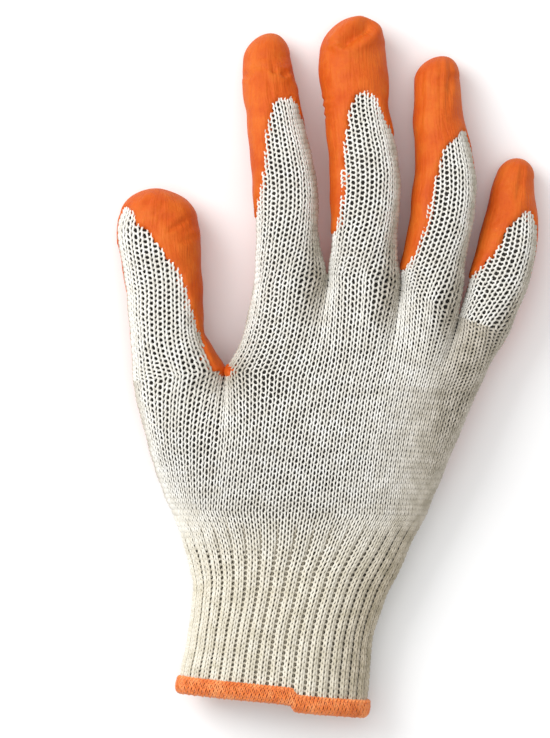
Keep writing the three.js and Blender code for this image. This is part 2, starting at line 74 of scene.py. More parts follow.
# %% [markdown]
# ## The shape of the glove, as tables
# The plain model was drawn from tables of sections. The same tables are repeated here in
# millimetres, because the knit has to follow the same shape. A finger has a root, stations on the
# way up, and a tip. The bare rows tell where the coat leaves the back of a finger bare, from the
# tip down.

# %% The fingers
OFF_LEFT, OFF_RIGHT = -18, 18
FINGERS = {
    "thumb": {
        "root": ((-54.6, 44.1), (-22.1, 48.3), 16.5, 14.4),
        "tip": (-44.9, 111.2, 11.4), "coat_edge": 13,
        "stations": [
            (-42.1, 56.9, 16.0, 13.3, 13.4), (-43.2, 67.4, 15.6, 13.0, 12.8),
            (-43.7, 78.0, 15.0, 13.0, 12.4), (-44.9, 88.4, 14.0, 13.7, 12.0),
            (-45.7, 96.5, 12.8, 14.0, 11.5), (-45.4, 102.0, 11.8, 12.9, 10.9)],
        "bare": [
            (104.9, -44.9 + OFF_LEFT, -55.4), (99.3, -44.9 + OFF_LEFT, -53.3),
            (96.1, -44.9 + OFF_LEFT, -48.4), (89.8, -44.9 + OFF_LEFT, -43.9),
            (81.1, -44.9 + OFF_LEFT, -37.2), (66.7, -44.9 + OFF_LEFT, -33.0),
            (51.3, -44.9 + OFF_LEFT, -28.1), (48.3, -44.9 + OFF_LEFT, -25.8)],
    },
    "index": {
        "root": ((-12.6, 78.1), (13.65, 81.6), 19.5, 12.6),
        "tip": (-7.5, 165.8, 8.6), "coat_edge": 17,
        "stations": [
            (-0.3, 93.1, 20.8, 11.3, 11.6), (-0.8, 108.5, 21.2, 11.2, 11.0),
            (-2.5, 122.5, 20.2, 10.6, 10.6), (-4.9, 138.3, 16.2, 9.3, 9.8),
            (-6.2, 144.6, 13.9, 9.2, 9.4), (-6.9, 152.0, 11.2, 8.6, 8.8),
            (-7.5, 157.5, 9.2, 7.7, 8.0)],
        "bare": [
            (143.2, -2.9, 0.9), (141.3, -5.7, 3.0), (132.5, -7.8, 6.5), (117.5, -9.2, 10.0),
            (101.4, -11.7, OFF_RIGHT), (90.2, OFF_LEFT, OFF_RIGHT)],
    },
    "middle": {
        "root": ((13.65, 81.6), (39.2, 78.1), 19.8, 12.6),
        "tip": (23.6, 171.4, 10.2), "coat_edge": 18,
        "stations": [
            (26.4, 92.0, 21.6, 11.7, 11.8), (27.0, 108.5, 23.0, 12.1, 11.4),
            (26.3, 122.5, 22.2, 11.9, 11.1), (24.0, 138.1, 18.2, 10.9, 10.6),
            (23.5, 145.1, 15.6, 11.2, 10.4), (23.0, 152.1, 13.2, 11.6, 10.3),
            (22.5, 161.0, 10.9, 11.0, 9.8)],
        "bare": [
            (145.2, 25.1, 28.6), (143.7, 23.0, 30.3), (137.4, 20.5, 33.1), (130.4, 19.6, 36.6),
            (121.3, 18.8, 25 + OFF_RIGHT), (107.3, 18.1, 25 + OFF_RIGHT),
            (97.2, 16.3, 25 + OFF_RIGHT), (84.9, 25 + OFF_LEFT, 25 + OFF_RIGHT)],
    },
    "ring": {
        "root": ((39.2, 78.1), (59.5, 66.9), 18.6, 12.0),
        "tip": (53.7, 158.1, 8.2), "coat_edge": 16,
        "stations": [
            (51.4, 88.4, 20.0, 10.9, 11.2), (53.6, 100.7, 20.2, 11.0, 10.8),
            (54.8, 111.2, 19.2, 11.0, 10.4), (54.7, 119.9, 17.4, 10.1, 9.9),
            (53.9, 128.7, 15.0, 9.3, 9.4), (52.7, 137.0, 12.4, 8.4, 8.8),
            (52.4, 150.6, 8.9, 7.4, 7.7)],
        "bare": [
            (131.8, 60.8, 62.2), (128.3, 57.6, 63.2), (125.5, 54.1, 64.3),
            (115.4, 51.0, 54 + OFF_RIGHT), (107.3, 49.6, 54 + OFF_RIGHT),
            (92.3, 45.7, 54 + OFF_RIGHT), (83.4, 40.5, 54 + OFF_RIGHT),
            (81.4, 54 + OFF_LEFT, 54 + OFF_RIGHT)],
    },
    "little": {
        "root": ((59.5, 66.9), (77.0, 60.4), 16.4, 11.2),
        "tip": (81.2, 122.2, 7.4), "coat_edge": 14,
        "stations": [
            (72.4, 75.0, 17.0, 9.9, 10.6), (75.0, 83.5, 16.6, 10.4, 10.0),
            (76.8, 92.4, 15.0, 10.0, 9.4), (78.1, 101.5, 12.3, 8.8, 8.5),
            (79.0, 110.3, 9.4, 7.3, 7.5), (79.8, 116.0, 7.8, 6.2, 6.6)],
        "bare": [
            (103.8, 83.2, 84.9), (101.4, 80.7, 85.6), (97.2, 76.2, 87.0),
            (90.2, 72.7, 76 + OFF_RIGHT), (79.5, 62.8, 76 + OFF_RIGHT),
            (76.5, 76 + OFF_LEFT, 76 + OFF_RIGHT)],
    },
}
FOUR_FINGERS = ("index", "middle", "ring", "little")
print("fingers:", ", ".join(FINGERS))

# %% [markdown]
# The hand and the cuff are sections across: the left and right end of each, how high those ends
# lie, how far the back rises above them, and how far the palm drops below them.

# %% The hand and the cuff
KNUCKLE_SECTIONS = [
    (-13.6, 73.0, 76.4, 57.0, 19.0, 16.0, 15.5, 16.0),
    (-15.8, 61.3, 71.4, 50.4, 19.5, 16.5, 17.0, 18.0),
    (-22.1, 48.3, 66.2, 40.3, 19.0, 17.0, 18.5, 18.5)]
PALM_SECTIONS = [
    (-54.6, 44.1, 66.2, 40.3, 16.5, 17.0, 19.5, 18.0),
    (-51.0, 28.0, 59.6, 24.5, 18.0, 18.0, 19.0, 19.5),
    (-45.4, 8.4, 51.8, 5.3, 16.5, 16.5, 17.0, 16.0),
    (-41.6, -0.7, 48.4, -2.8, 15.5, 15.5, 15.2, 14.0)]
CUFF_SECTIONS = [
    (-41.4, -1.0, 48.2, -3.1, 15.5, 15.5, 15.0, 14.0),
    (-36.8, -11.2, 43.2, -12.6, 15.0, 15.0, 13.8, 13.6),
    (-33.6, -21.7, 37.6, -23.1, 14.6, 14.6, 13.0, 13.2),
    (-32.8, -30.8, 33.2, -31.9, 14.2, 14.2, 12.6, 12.8),
    (-34.5, -44.5, 28.9, -46.2, 13.8, 13.8, 12.2, 12.4),
    (-37.3, -58.8, 27.2, -67.0, 13.4, 13.4, 11.8, 12.0)]
SECTION_POWER = 2.1
ROOT_POWER = 1.6
BLEND_LENGTH = 24.0
TABLE_HEIGHT = 1.0
TABLE_TO_ROW = np.array((-13.695, -49.674, 0.0))
print("sections:", len(KNUCKLE_SECTIONS), len(PALM_SECTIONS), len(CUFF_SECTIONS))

# %% [markdown]
# ## How many stitches
# A knitting machine makes every row of loops, a course, across columns of loops, the wales. Counted
# on the real glove, the four fingers and the thumb have these wales on their back, and as many
# again on the palm side. All of them run on down through the hand into the cuff, where three wales
# make one rib.

# %% Count the wales
WALES = {"thumb": 13, "index": 12, "middle": 12, "ring": 11, "little": 9}
COURSE = 1.85
SAMPLES = 2
CLOSE_STEPS = 400
SMALLEST = 1e-9
HAND_WALES = sum(WALES.values())
print("wales round the hand:", 2 * HAND_WALES, "which makes", 2 * HAND_WALES // 3, "ribs")


def through(rows, t):
    """Reads a table between its rows, on a smooth curve through them."""
    rows = np.asarray(rows, float)
    low = np.clip(np.floor(t).astype(int), 0, len(rows) - 2)
    a, b, c, d = (rows[np.clip(low + step, 0, len(rows) - 1)] for step in (-1, 0, 1, 2))
    s = (t - low)[:, None]
    bend, twist = 2 * a - 5 * b + 4 * c - d, 3 * b - a - 3 * c + d
    return 0.5 * (2 * b + (c - a) * s + bend * s * s + twist * s ** 3)


def read_closely(table):
    return through(table, np.linspace(0, len(table) - 1, CLOSE_STEPS))


def travelled(points):
    """How far each point of a line lies from its start, along the line."""
    steps = np.linalg.norm(np.diff(points, axis=0), axis=1)
    return np.concatenate([[0.0], np.cumsum(steps)])


def unit(vectors):
    """The same directions, each one long."""
    return vectors / np.maximum(np.linalg.norm(vectors, axis=-1, keepdims=True), SMALLEST)


# %% [markdown]
# ## The form to knit on
# A glove form is one sheet of points for each tube. Its columns go round: from the left side over
# the back to the right side, and back under the palm. Its rows go down, from the fingertip to the
# cuff, because that is the way the glove was knitted. The rows lie half a course apart, so a loop
# can be laid on it. The walls of the plain model could have been the form, but their corners don't
# follow the wales.

# %% Rings of a finger
PUSH_ABOVE = {"thumb": 0.05, "index": 0.11, "middle": 0.11, "ring": 0.11, "little": 0.12}
PUSH_AT_ROOT = {"thumb": 0.0, "index": -0.10, "middle": -0.09, "ring": -0.10, "little": -0.12}
PUSH_LENGTH = 40.0
SETTLE_LENGTH = 12.0
TIP_CLOSED_TO = 1e-4


def between(begin, end, share):
    return begin + (end - begin) * share


def powered(v, power):
    return np.sign(v) * np.abs(v) ** (2 / power)


def pushed(share, push):
    """Moves the wales of a side to the right, where they then lie closer, or left below 0."""
    return share + push * np.sin(math.pi * share)


def finger_ring(middle, across, half_width, half_depth, wales, power, push):
    share = pushed(np.arange(wales * SAMPLES + 1) / (wales * SAMPLES), push)
    angle = math.pi * np.concatenate([1 - share, share[-2:0:-1] - 1])
    ring = middle + across * (half_width * powered(np.cos(angle), power))[:, None]
    ring[:, 2] += half_depth * powered(np.sin(angle), power)
    ring[:, 2] = np.maximum(ring[:, 2], TABLE_HEIGHT)
    return ring


ring = finger_ring(np.zeros(3), np.array((1, 0, 0)), 9, 9, WALES["index"], 2, 0)
print("a ring of the index finger has", len(ring), "points")

# %% [markdown]
# The stations of a finger are joined by a smooth line, and a ring is laid across it every half
# course. At the root the rings turn to lie along the row of roots, so that the tubes meet there.
# The tip could be a half ball, but a real fingertip is longer than it is wide, so its rings shrink
# on a quarter of an ellipse.

# %% The sheet of a finger
def tip_rings(tip, last, across, wales, push):
    radii = np.linalg.norm(tip - last[:3]) + last[3]
    count = round(math.pi / 2 * radii / 2 / COURSE) * SAMPLES
    rings = []
    for i in range(1, count + 1):
        angle = math.pi / 2 * i / count
        centre = last[:3] + (tip - last[:3]) * math.sin(angle)
        shrink = max(math.cos(angle), TIP_CLOSED_TO)
        half_width, half_depth = last[3:5] * shrink
        rings.append(finger_ring(centre, across, half_width, half_depth, wales, 2, push))
    return rings


def finger_sheet(name):
    """Rows of points from the fingertip down to the root."""
    finger = FINGERS[name]
    (left, right, height, depth), wales = finger["root"], WALES[name]
    left, right = np.array((*left, height)), np.array((*right, height))
    middle, half_width = (left + right) / 2, np.linalg.norm(right - left) / 2
    dense = read_closely([(*middle, half_width, depth), *finger["stations"]])
    way = travelled(dense[:, :3])
    count = round(way[-1] / COURSE) * SAMPLES
    at = np.linspace(0, way[-1], count + 1)
    rows = np.column_stack([np.interp(at, way, dense[:, c]) for c in range(5)])
    heading = np.gradient(rows[:, :3], axis=0)
    turned = unit(np.column_stack([heading[:, 1], -heading[:, 0], np.zeros(len(rows))]))
    settle = np.clip(at / SETTLE_LENGTH, 0, 1)[:, None]
    across = unit(turned * settle + unit(right - left) * (1 - settle))
    powers = between(ROOT_POWER, 2, settle[:, 0])
    risen = np.clip(at / PUSH_LENGTH, 0, 1)
    push = between(PUSH_AT_ROOT[name], PUSH_ABOVE[name], risen * (2 - risen))
    rings = [finger_ring(row[:3], way_across, row[3], row[4], wales, power, row_push)
             for row, way_across, power, row_push in zip(rows, across, powers, push)]
    rings.extend(tip_rings(np.array(finger["tip"]), rows[-1], across[-1], wales, push[-1]))
    return np.array(rings[::-1])


SHEETS = {}
for name in FINGERS:
    SHEETS[name] = finger_sheet(name)
    print(name, "has", (len(SHEETS[name]) - 1) // SAMPLES, "courses of", 2 * WALES[name], "wales")


# %% [markdown]
# The wales are not evenly spread across the hand. They lie wider in the middle and closer at the
# sides, where the knit curls over. A lane is the way of one wale, told as its share of the way over
# the back.

# %% Lanes of the wales
CROWD = 0.3
WRIST_PUSH = 0.04
KNUCKLE_COURSES = 18
FINE_ROWS = 120
CROTCH_X = -22.1
THUMB_LANES = WALES["thumb"] * SAMPLES
EVEN_LANES = np.arange(HAND_WALES * SAMPLES + 1) / (HAND_WALES * SAMPLES)


def spread(share, crowd, push):
    return pushed(share + crowd * np.sin(2 * math.pi * (share - 0.5)) / (2 * math.pi), push)


WRIST_LANES = spread(EVEN_LANES, CROWD, WRIST_PUSH)
print("lanes over the back at the wrist:", len(WRIST_LANES))


# %% [markdown]
# A section of the hand is two flat arches, one over the back and one under the palm, that share
# their ends. The lanes cut each arch into the widths of its wales. Below the roots the fingers'
# tubes are not cut off: their rings run on and fade into the sections, as the fingers of a hand do.

# %% Rings across the hand
ARC_STEPS = 241


def side_of_section(section, height, lanes):
    left, right = np.array(section[[0, 1, 4]]), np.array(section[[2, 3, 5]])
    angle = np.linspace(0, math.pi, ARC_STEPS)
    along = -powered(np.cos(angle), SECTION_POWER)
    arc = left + (right - left) * ((1 + along) / 2)[:, None]
    arc[:, 2] += height * np.clip(np.sin(angle), 0, 1) ** (2 / SECTION_POWER)
    way = travelled(arc)
    return np.column_stack([np.interp(lanes * way[-1], way, arc[:, c]) for c in range(3)])


def section_ring(section, lanes):
    back = side_of_section(section, section[6], lanes)
    palm = side_of_section(section, -section[7], lanes)[::-1]
    return np.concatenate([back, palm[1:-1]])


wrist = np.array(PALM_SECTIONS[-1])
over_wrist = side_of_section(wrist, wrist[6], EVEN_LANES)
print("over the wrist:", round(travelled(over_wrist)[-1], 1), "mm")

# %% [markdown]
# A sheet of the hand starts from a row of tubes. Every row below it is worked out closely first.
# Then each column is cut into courses of one length, so that the loops of a wale are all as long as
# each other.

# %% Sheets of the hand
def section_middles(sections):
    return (sections[:, 0:2] + sections[:, 2:4]) / 2


def way_down(start, table):
    """The table read closely, and how far the middle of each section lies below a row of tubes."""
    dense = read_closely(table)
    begin = (start[0, :2] + start[len(start) // 2, :2]) / 2
    return dense, np.linalg.norm(section_middles(dense) - begin, axis=1)


def evenly(points, count):
    """Places along a line of points, all the same way apart."""
    way = travelled(points)
    at = np.linspace(0, way[-1], count)
    return np.column_stack([np.interp(at, way, points[:, c]) for c in range(3)])


print("a line of points can be cut evenly:", evenly(np.array([[0, 0, 0], [3, 0, 0]]), 4)[:, 0])

# %% [markdown]
# The rows fade from the ring of tubes into the sections of the hand. They set off at the pace at
# which the sections change, so there is no kink at the roots.

# %% Rows below a row of tubes
def hand_sheet(start, table, lanes_at, courses):
    """Rows below a row of tubes: each tube runs on along its lanes and melts into the hand."""
    dense, way = way_down(start, table)

    def ring_at(at):
        section = np.array([np.interp(at, way, dense[:, c]) for c in range(8)])
        return section_ring(section, lanes_at(section, at))

    pace = (ring_at(way[0] + PACE_LENGTH) - ring_at(way[0])) / PACE_LENGTH
    pace[:, 2] = 0
    fine = [start]
    for at in np.linspace(0, way[-1], FINE_ROWS + 1)[1:]:
        weight = 1 - (1 - min(at / BLEND_LENGTH, 1)) ** 2
        row = (start + pace * at) * (1 - weight) + ring_at(at) * weight
        row[:, 2] = np.maximum(row[:, 2], TABLE_HEIGHT)
        fine.append(row)
    columns = np.swapaxes(fine, 0, 1)
    return np.stack([evenly(column, courses * SAMPLES + 1) for column in columns], axis=1)


def side_by_side(rings):
    """Joins the rings of tubes that lie side by side into one ring round them all."""
    halves = [len(ring) // 2 for ring in rings]
    backs = [ring[:half] for ring, half in zip(rings, halves)]
    palms = [ring[half:] for ring, half in zip(rings, halves)][::-1]
    return np.concatenate(backs + palms)


knuckle_middles = section_middles(np.array(KNUCKLE_SECTIONS))
print("the knuckles' sections lie at", knuckle_middles.round(1).tolist())


# %% [markdown]
# Seen from above, each wale runs down from its finger to the wrist in one line that leans, most of
# all near the fingers. So for every row, each lane is put where that line passes. Only near the
# edges of the hand, and beside the thumb's crotch, the lanes keep to the edge instead.

# %% Where the lines begin and end
LANE_CURVE = 0.5
LANE_STEPS = 401
LEFT_LANES, RIGHT_LANES = 15.0, 9.0
FOUR_RING = side_by_side([SHEETS[name][-1] for name in FOUR_FINGERS])
ROOT_X = [FINGERS["index"]["root"][0][0]]
for name in FOUR_FINGERS:
    left, right = FINGERS[name]["root"][:2]
    ROOT_X.extend(np.linspace(left[0], right[0], WALES[name] * SAMPLES + 1)[1:])
ROOT_X = np.array(ROOT_X)
ROOT_LANES = (ROOT_X - ROOT_X[0]) / (ROOT_X[-1] - ROOT_X[0])
THUMB_SHARE = WRIST_LANES[THUMB_LANES]
FOUR_AT_WRIST = (WRIST_LANES[THUMB_LANES:] - THUMB_SHARE) / (1 - THUMB_SHARE)
THUMB_AT_WRIST = WRIST_LANES[:THUMB_LANES + 1] / THUMB_SHARE


def places_across(section, lanes):
    return side_of_section(section, section[6], lanes)[:, 0]


def lanes_through(section, x):
    fine = np.linspace(0, 1, LANE_STEPS)
    return np.interp(x, places_across(section, fine), fine)


WRIST_X = places_across(wrist, WRIST_LANES)[THUMB_LANES:]
STEPS_IN = np.arange(len(ROOT_LANES))
NEAR_LEFT = np.exp(-(STEPS_IN / LEFT_LANES) ** 2)
NEAR_RIGHT = np.exp(-(STEPS_IN / RIGHT_LANES) ** 2)[::-1]
print("a line moves", np.round(ROOT_X - WRIST_X, 1)[::22], "mm to the side on its way down")

# %% [markdown]
# Now the rows are laid, first from the four roots down to the crotch of the thumb, and from there,
# with the thumb's tube beside them, down to the wrist.

# %% Rows of the knuckles and the hand
PACE_LENGTH = 6.0
thumb_ring = SHEETS["thumb"][-1]
KNUCKLE_LENGTH = way_down(FOUR_RING, KNUCKLE_SECTIONS)[1][-1]
PALM_LENGTH = math.dist(*section_middles(np.array(PALM_SECTIONS)[[0, -1]]))


def four_lines(at):
    """Places across, and shares of the width, of the four fingers' lines below the roots."""
    share = at / (KNUCKLE_LENGTH + PALM_LENGTH)
    share += LANE_CURVE * share * (1 - share)
    return between(ROOT_X, WRIST_X, share), between(ROOT_LANES, FOUR_AT_WRIST, share)


def knuckle_lanes(section, at):
    x, kept = four_lines(at)
    lanes = between(lanes_through(section, x), kept, 1 - (1 - NEAR_LEFT) * (1 - NEAR_RIGHT))
    lanes[[0, -1]] = 0, 1
    return lanes


def palm_lanes(section, at):
    share = at / PALM_LENGTH
    crotch_x = between(CROTCH_X, WRIST_X[0], share)
    crotch = lanes_through(section, [crotch_x])[0]
    x, kept = four_lines(KNUCKLE_LENGTH + at)
    four = lanes_through(section, x + (crotch_x - x[0]) * NEAR_LEFT)
    four = between(four, crotch + (1 - crotch) * kept, NEAR_RIGHT)
    thumb = crotch * between(np.linspace(0, 1, THUMB_LANES + 1), THUMB_AT_WRIST, share)
    return np.concatenate([thumb, four[1:]])


SHEETS["knuckles"] = hand_sheet(FOUR_RING, KNUCKLE_SECTIONS, knuckle_lanes, KNUCKLE_COURSES)
SHEETS["knuckles"][-1, 0] = thumb_ring[len(thumb_ring) // 2]
wide_ring = side_by_side([thumb_ring, SHEETS["knuckles"][-1]])
SHEETS["hand"] = hand_sheet(wide_ring, PALM_SECTIONS, palm_lanes, round(PALM_LENGTH / COURSE))
print("knuckles:", SHEETS["knuckles"].shape, " hand:", SHEETS["hand"].shape)


# %% [markdown]
# The cuff goes on from the wrist with the same wales, down to the slanted mouth.

# %% Rings of the cuff
CUFF_CROWD = 0.15
CUFF_SETTLED_AT = 1 / 3
CUFF_LANES = spread(EVEN_LANES, CUFF_CROWD, 0)


def cuff_lanes(share):
    return between(WRIST_LANES, CUFF_LANES, min(share / CUFF_SETTLED_AT, 1))


def cuff_sheet(table):
    dense = read_closely(table)
    way = travelled(section_middles(dense))
    count = round(way[-1] / COURSE) * SAMPLES
    rows = []
    for at in np.linspace(0, way[-1], count + 1):
        section = np.array([np.interp(at, way, dense[:, c]) for c in range(8)])
        rows.append(section_ring(section, cuff_lanes(at / way[-1])))
    return np.array(rows)


SHEETS["cuff"] = cuff_sheet(CUFF_SECTIONS)
SHEETS["cuff"][0] = SHEETS["hand"][-1]
print("cuff:", SHEETS["cuff"].shape)


# %% [markdown]
# Real cloth is never perfectly smooth. A slow ripple of a few tenths of a millimetre makes the
# light play on it. The outward direction of every point is worked out as well, and where two sheets
# meet, both take the same direction, so nothing gapes there.

# %% Outward directions
SLOW_RIPPLE, QUICK_RIPPLE = 0.28, 0.18


def ripple(points):
    x, y, z = points[..., 0], points[..., 1], points[..., 2]
    slow = np.sin(0.21 * x + 1.3 * np.sin(0.11 * y)) * np.sin(0.17 * y + 0.8)
    quick = np.sin(0.43 * x - 0.27 * y + 0.9) * np.sin(0.35 * z + 0.31 * y)
    return SLOW_RIPPLE * slow + QUICK_RIPPLE * quick


def sheet_directions(sheet):
    before, after = np.roll(sheet, 1, axis=1), np.roll(sheet, -1, axis=1)
    return unit(np.cross(np.gradient(sheet, axis=0), after - before))


def agree_at_meetings(sheets, directions):
    """Points that lie in one place on two sheets both get the sum of their directions."""
    points = np.concatenate([sheets[name].reshape(-1, 3) for name in sheets])
    flat = np.concatenate([directions[name].reshape(-1, 3) for name in sheets])
    _, same = np.unique(np.round(points, 3), axis=0, return_inverse=True)
    total = np.zeros((same.max() + 1, 3))
    np.add.at(total, same.ravel(), flat)
    flat = unit(total[same.ravel()])
    begin = 0
    for name in sheets:
        size = sheets[name].shape[0] * sheets[name].shape[1]
        directions[name] = flat[begin:begin + size].reshape(sheets[name].shape)
        begin += size


OUTWARD = {name: sheet_directions(sheet) for name, sheet in SHEETS.items()}
agree_at_meetings(SHEETS, OUTWARD)
print("back of the hand points", np.round(OUTWARD["hand"][20, 57], 2))


# %% [markdown]
# ## Laying flat knit on the form
# Every knitted piece is first made flat, where x counts wales, minus y counts courses, and z is the
# height above the cloth in millimetres. `on_form` then draws each of its points on to the form, as
# cloth is pulled on to a hand. A flat swatch is easy to build by hand, and the same few tools serve
# every tube.

# %% From flat to form
def look_up(sheet, wales, courses):
    rows, columns = sheet.shape[:2]
    u, v = wales * SAMPLES, courses * SAMPLES
    column, row = np.floor(u).astype(int), np.clip(np.floor(v).astype(int), 0, rows - 2)
    s, t = (u - column)[:, None], (v - row)[:, None]
    here, beside = column % columns, (column + 1) % columns
    upper = sheet[row, here] * (1 - s) + sheet[row, beside] * s
    lower = sheet[row + 1, here] * (1 - s) + sheet[row + 1, beside] * s
    return upper * (1 - t) + lower * t


def on_form(name, flat, height):
    """The place on the glove, in metres, of flat points (wale, minus course) at a height in mm."""
    place = look_up(SHEETS[name], flat[:, 0], -flat[:, 1])
    outward = unit(look_up(OUTWARD[name], flat[:, 0], -flat[:, 1]))
    place = place + outward * (height + ripple(place))[:, None]
    return (place + TABLE_TO_ROW) / 1000


def courses_of(name):
    return (len(SHEETS[name]) - 1) // SAMPLES


def wales_of(name):
    return SHEETS[name].shape[1] // SAMPLES


middle_stitch = np.array([[28.5, -20.0]])
print("a stitch of the hand lies at", on_form("hand", middle_stitch, np.zeros(1)).round(3))


# %% [markdown]
# ## Where the coat ends
# The coat covers the palm, the tips and the sides of the fingers. `bare_depth` gives how many
# millimetres a point lies inside the bare knit, and is negative under the coat.

# %% Bare or coated
FAR_INSIDE = 50.0
PALM_COAT_EDGE = 9.5
PALM_COAT_END = 10.0
SIDE_DROP_LENGTH = 12.0
ROOT_LINE = (
    (-54, 44), (-22, 48), (-12.6, 78), (13.6, 81.6), (39.2, 78.1), (59.5, 66.9), (77, 60.4))
ROOT_EDGES = ((-54, 13), (-22, 13), (-12, 17), (12, 18), (28, 18), (52, 16), (72, 14))
CROTCH, CROTCH_COAT = (-22.1, 48.3), 2.4


def bare_finger(name, points):
    rows = np.array(FINGERS[name]["bare"])[::-1]
    x, y, z = points[:, 0], points[:, 1], points[:, 2]
    left, right = np.interp(y, rows[:, 0], rows[:, 1]), np.interp(y, rows[:, 0], rows[:, 2])
    inside = np.minimum(np.minimum(x - left, right - x), rows[-1, 0] - y)
    return np.minimum(inside, z - FINGERS[name]["coat_edge"])


def bare_hand(points):
    x, y, z = points[:, 0], points[:, 1], points[:, 2]
    root_y = np.interp(x, *zip(*ROOT_LINE))
    root_edge = np.interp(x, *zip(*ROOT_EDGES))
    fall = np.clip((root_y - y) / SIDE_DROP_LENGTH, 0, 1)
    edge = root_edge + (PALM_COAT_EDGE - root_edge) * fall
    from_crotch = np.hypot(x - CROTCH[0], y - CROTCH[1]) - CROTCH_COAT
    return np.minimum(np.maximum(z - edge, PALM_COAT_END - y), from_crotch)


def bare_depth(name, flat):
    points = look_up(SHEETS[name], flat[:, 0], -flat[:, 1])
    if name == "cuff":
        return np.full(len(points), FAR_INSIDE)
    return bare_finger(name, points) if name in FINGERS else bare_hand(points)


print("coat on the thumb begins", FINGERS["thumb"]["coat_edge"], "mm above the table")


# %% [markdown]
# ## One loop of yarn
# A loop rises, leans over to both sides and comes back down, like the letter omega, and its two
# legs lie in front of the head of the loop before it. It is drawn as a chain of edges: one
# vertex, extruded from place to place. A curve with a bevel gives it the thickness of yarn later,
# which keeps the yarn round however the cloth is stretched.

# %% Helpers for working by hand
def nothing_selected():
    if bpy.context.object and bpy.context.object.mode != "OBJECT":
        bpy.ops.object.mode_set(mode="OBJECT")
    bpy.ops.object.select_all(action="DESELECT")


def take_up(obj):
    nothing_selected()
    obj.select_set(True)
    bpy.context.view_layer.objects.active = obj


def apply_modifier(obj, kind, **settings):
    take_up(obj)
    bpy.ops.object.modifier_add(type=kind)
    modifier = obj.modifiers[-1]
    for key, value in settings.items():
        setattr(modifier, key, value)
    bpy.ops.object.modifier_apply(modifier=modifier.name)


def repeat(obj, count, step):
    """Copies a piece over and over, each copy a step further, with an array."""
    apply_modifier(obj, "ARRAY", count=count, use_relative_offset=False,
                   use_constant_offset=True, constant_offset_displace=step)


print("the tools select, copy and apply as the menus do")

# %% [markdown]
# The vertices of a piece are read and moved all at once. A chain is drawn vertex by vertex, and
# vertices that aren't wanted are selected and deleted.

# %% Helpers for vertices
def points_of(obj):
    flat = np.empty(3 * len(obj.data.vertices))
    obj.data.vertices.foreach_get("co", flat)
    return flat.reshape(-1, 3)


def move_points(obj, points):
    obj.data.vertices.foreach_set("co", np.asarray(points, float).ravel())
    obj.data.update()


def drop_points(obj, unwanted):
    """Selects vertices in code and deletes them, as the box select and the delete key would."""
    take_up(obj)
    bpy.ops.object.mode_set(mode="EDIT")
    bpy.ops.mesh.select_mode(type="VERT")
    bpy.ops.mesh.select_all(action="DESELECT")
    bpy.ops.object.mode_set(mode="OBJECT")
    obj.data.vertices.foreach_set("select", np.asarray(unwanted, bool))
    bpy.ops.object.mode_set(mode="EDIT")
    bpy.ops.mesh.delete(type="VERT")
    bpy.ops.object.mode_set(mode="OBJECT")


def weld(obj, distance):
    take_up(obj)
    bpy.ops.object.mode_set(mode="EDIT")
    bpy.ops.mesh.select_all(action="SELECT")
    bpy.ops.mesh.remove_doubles(threshold=distance)
    bpy.ops.object.mode_set(mode="OBJECT")


print("vertices can be read, moved, deleted and merged")

# %% [markdown]
# A loop could be a curve from the start, but a chain of edges is easier to copy, to vary point by
# point and to merge with its neighbours. So the curves come last.

# %% Draw a chain
def chain(name, places):
    """A chain of edges through some places: one vertex, extruded from each place to the next."""
    nothing_selected()
    bpy.ops.mesh.primitive_plane_add(size=0.01, location=places[0])
    obj = bpy.context.object
    obj.name = name
    bpy.ops.object.transform_apply(location=True)
    bpy.ops.object.mode_set(mode="EDIT")
    bpy.ops.mesh.select_all(action="SELECT")
    bpy.ops.mesh.merge(type="CENTER")
    for here, there in zip(places[:-1], places[1:]):
        step = [there[i] - here[i] for i in range(3)]
        bpy.ops.mesh.extrude_region_move(TRANSFORM_OT_translate={"value": step})
    bpy.ops.object.mode_set(mode="OBJECT")
    return obj


print("a chain starts as one vertex and is extruded from place to place")

# %% [markdown]
# The loop is laid out flat, one wale wide. How far its feet lean apart, how high it reaches into
# the course above and how far it bulges out of the cloth were set against the photograph.

# %% The loop
LOOP_LEAN = 1.1
LOOP_OPEN = 0.22
LOOP_REACH = 0.72
LOOP_LIFT = 0.36
YARN_RADIUS = 0.35


def loop_places(steps, opening=LOOP_OPEN):
    turn = np.linspace(0, 2 * math.pi, steps + 1)
    x = (turn + LOOP_LEAN * np.sin(2 * turn) - opening * np.sin(turn)) / (2 * math.pi)
    y = LOOP_REACH * np.cos(turn) - 0.5
    z = -LOOP_LIFT * np.cos(2 * turn)
    return [tuple(place) for place in np.column_stack([x, y, z])]


print("one loop, flat:", [tuple(round(v, 2) for v in place) for place in loop_places(4)])


# %% [markdown]
# ## A swatch of knit
# Two arrays repeat the loop over all wales and courses of a tube. Loops that the coat would hide
# are deleted, and the ends of neighbouring loops are merged, which leaves one long yarn for each
# course. Every loop is a little different from the next: its reach and its place vary by a few per
# cent. A real machine knits each tube in one go, round and round. Here each is a flat swatch until
# it is drawn on to the form, because loops that lie flat are easy to count, to vary and to leave
# out.

# %% Knit a tube
RANDOM = np.random.default_rng(7)
REACH_VARIES, SHIFT_VARIES, ASIDE_VARIES = 0.05, 0.04, 0.03


def flat_loops(name, wales, courses, places):
    swatch = chain(name, places)
    repeat(swatch, wales, (1, 0, 0))
    repeat(swatch, courses, (0, -1, 0))
    return swatch


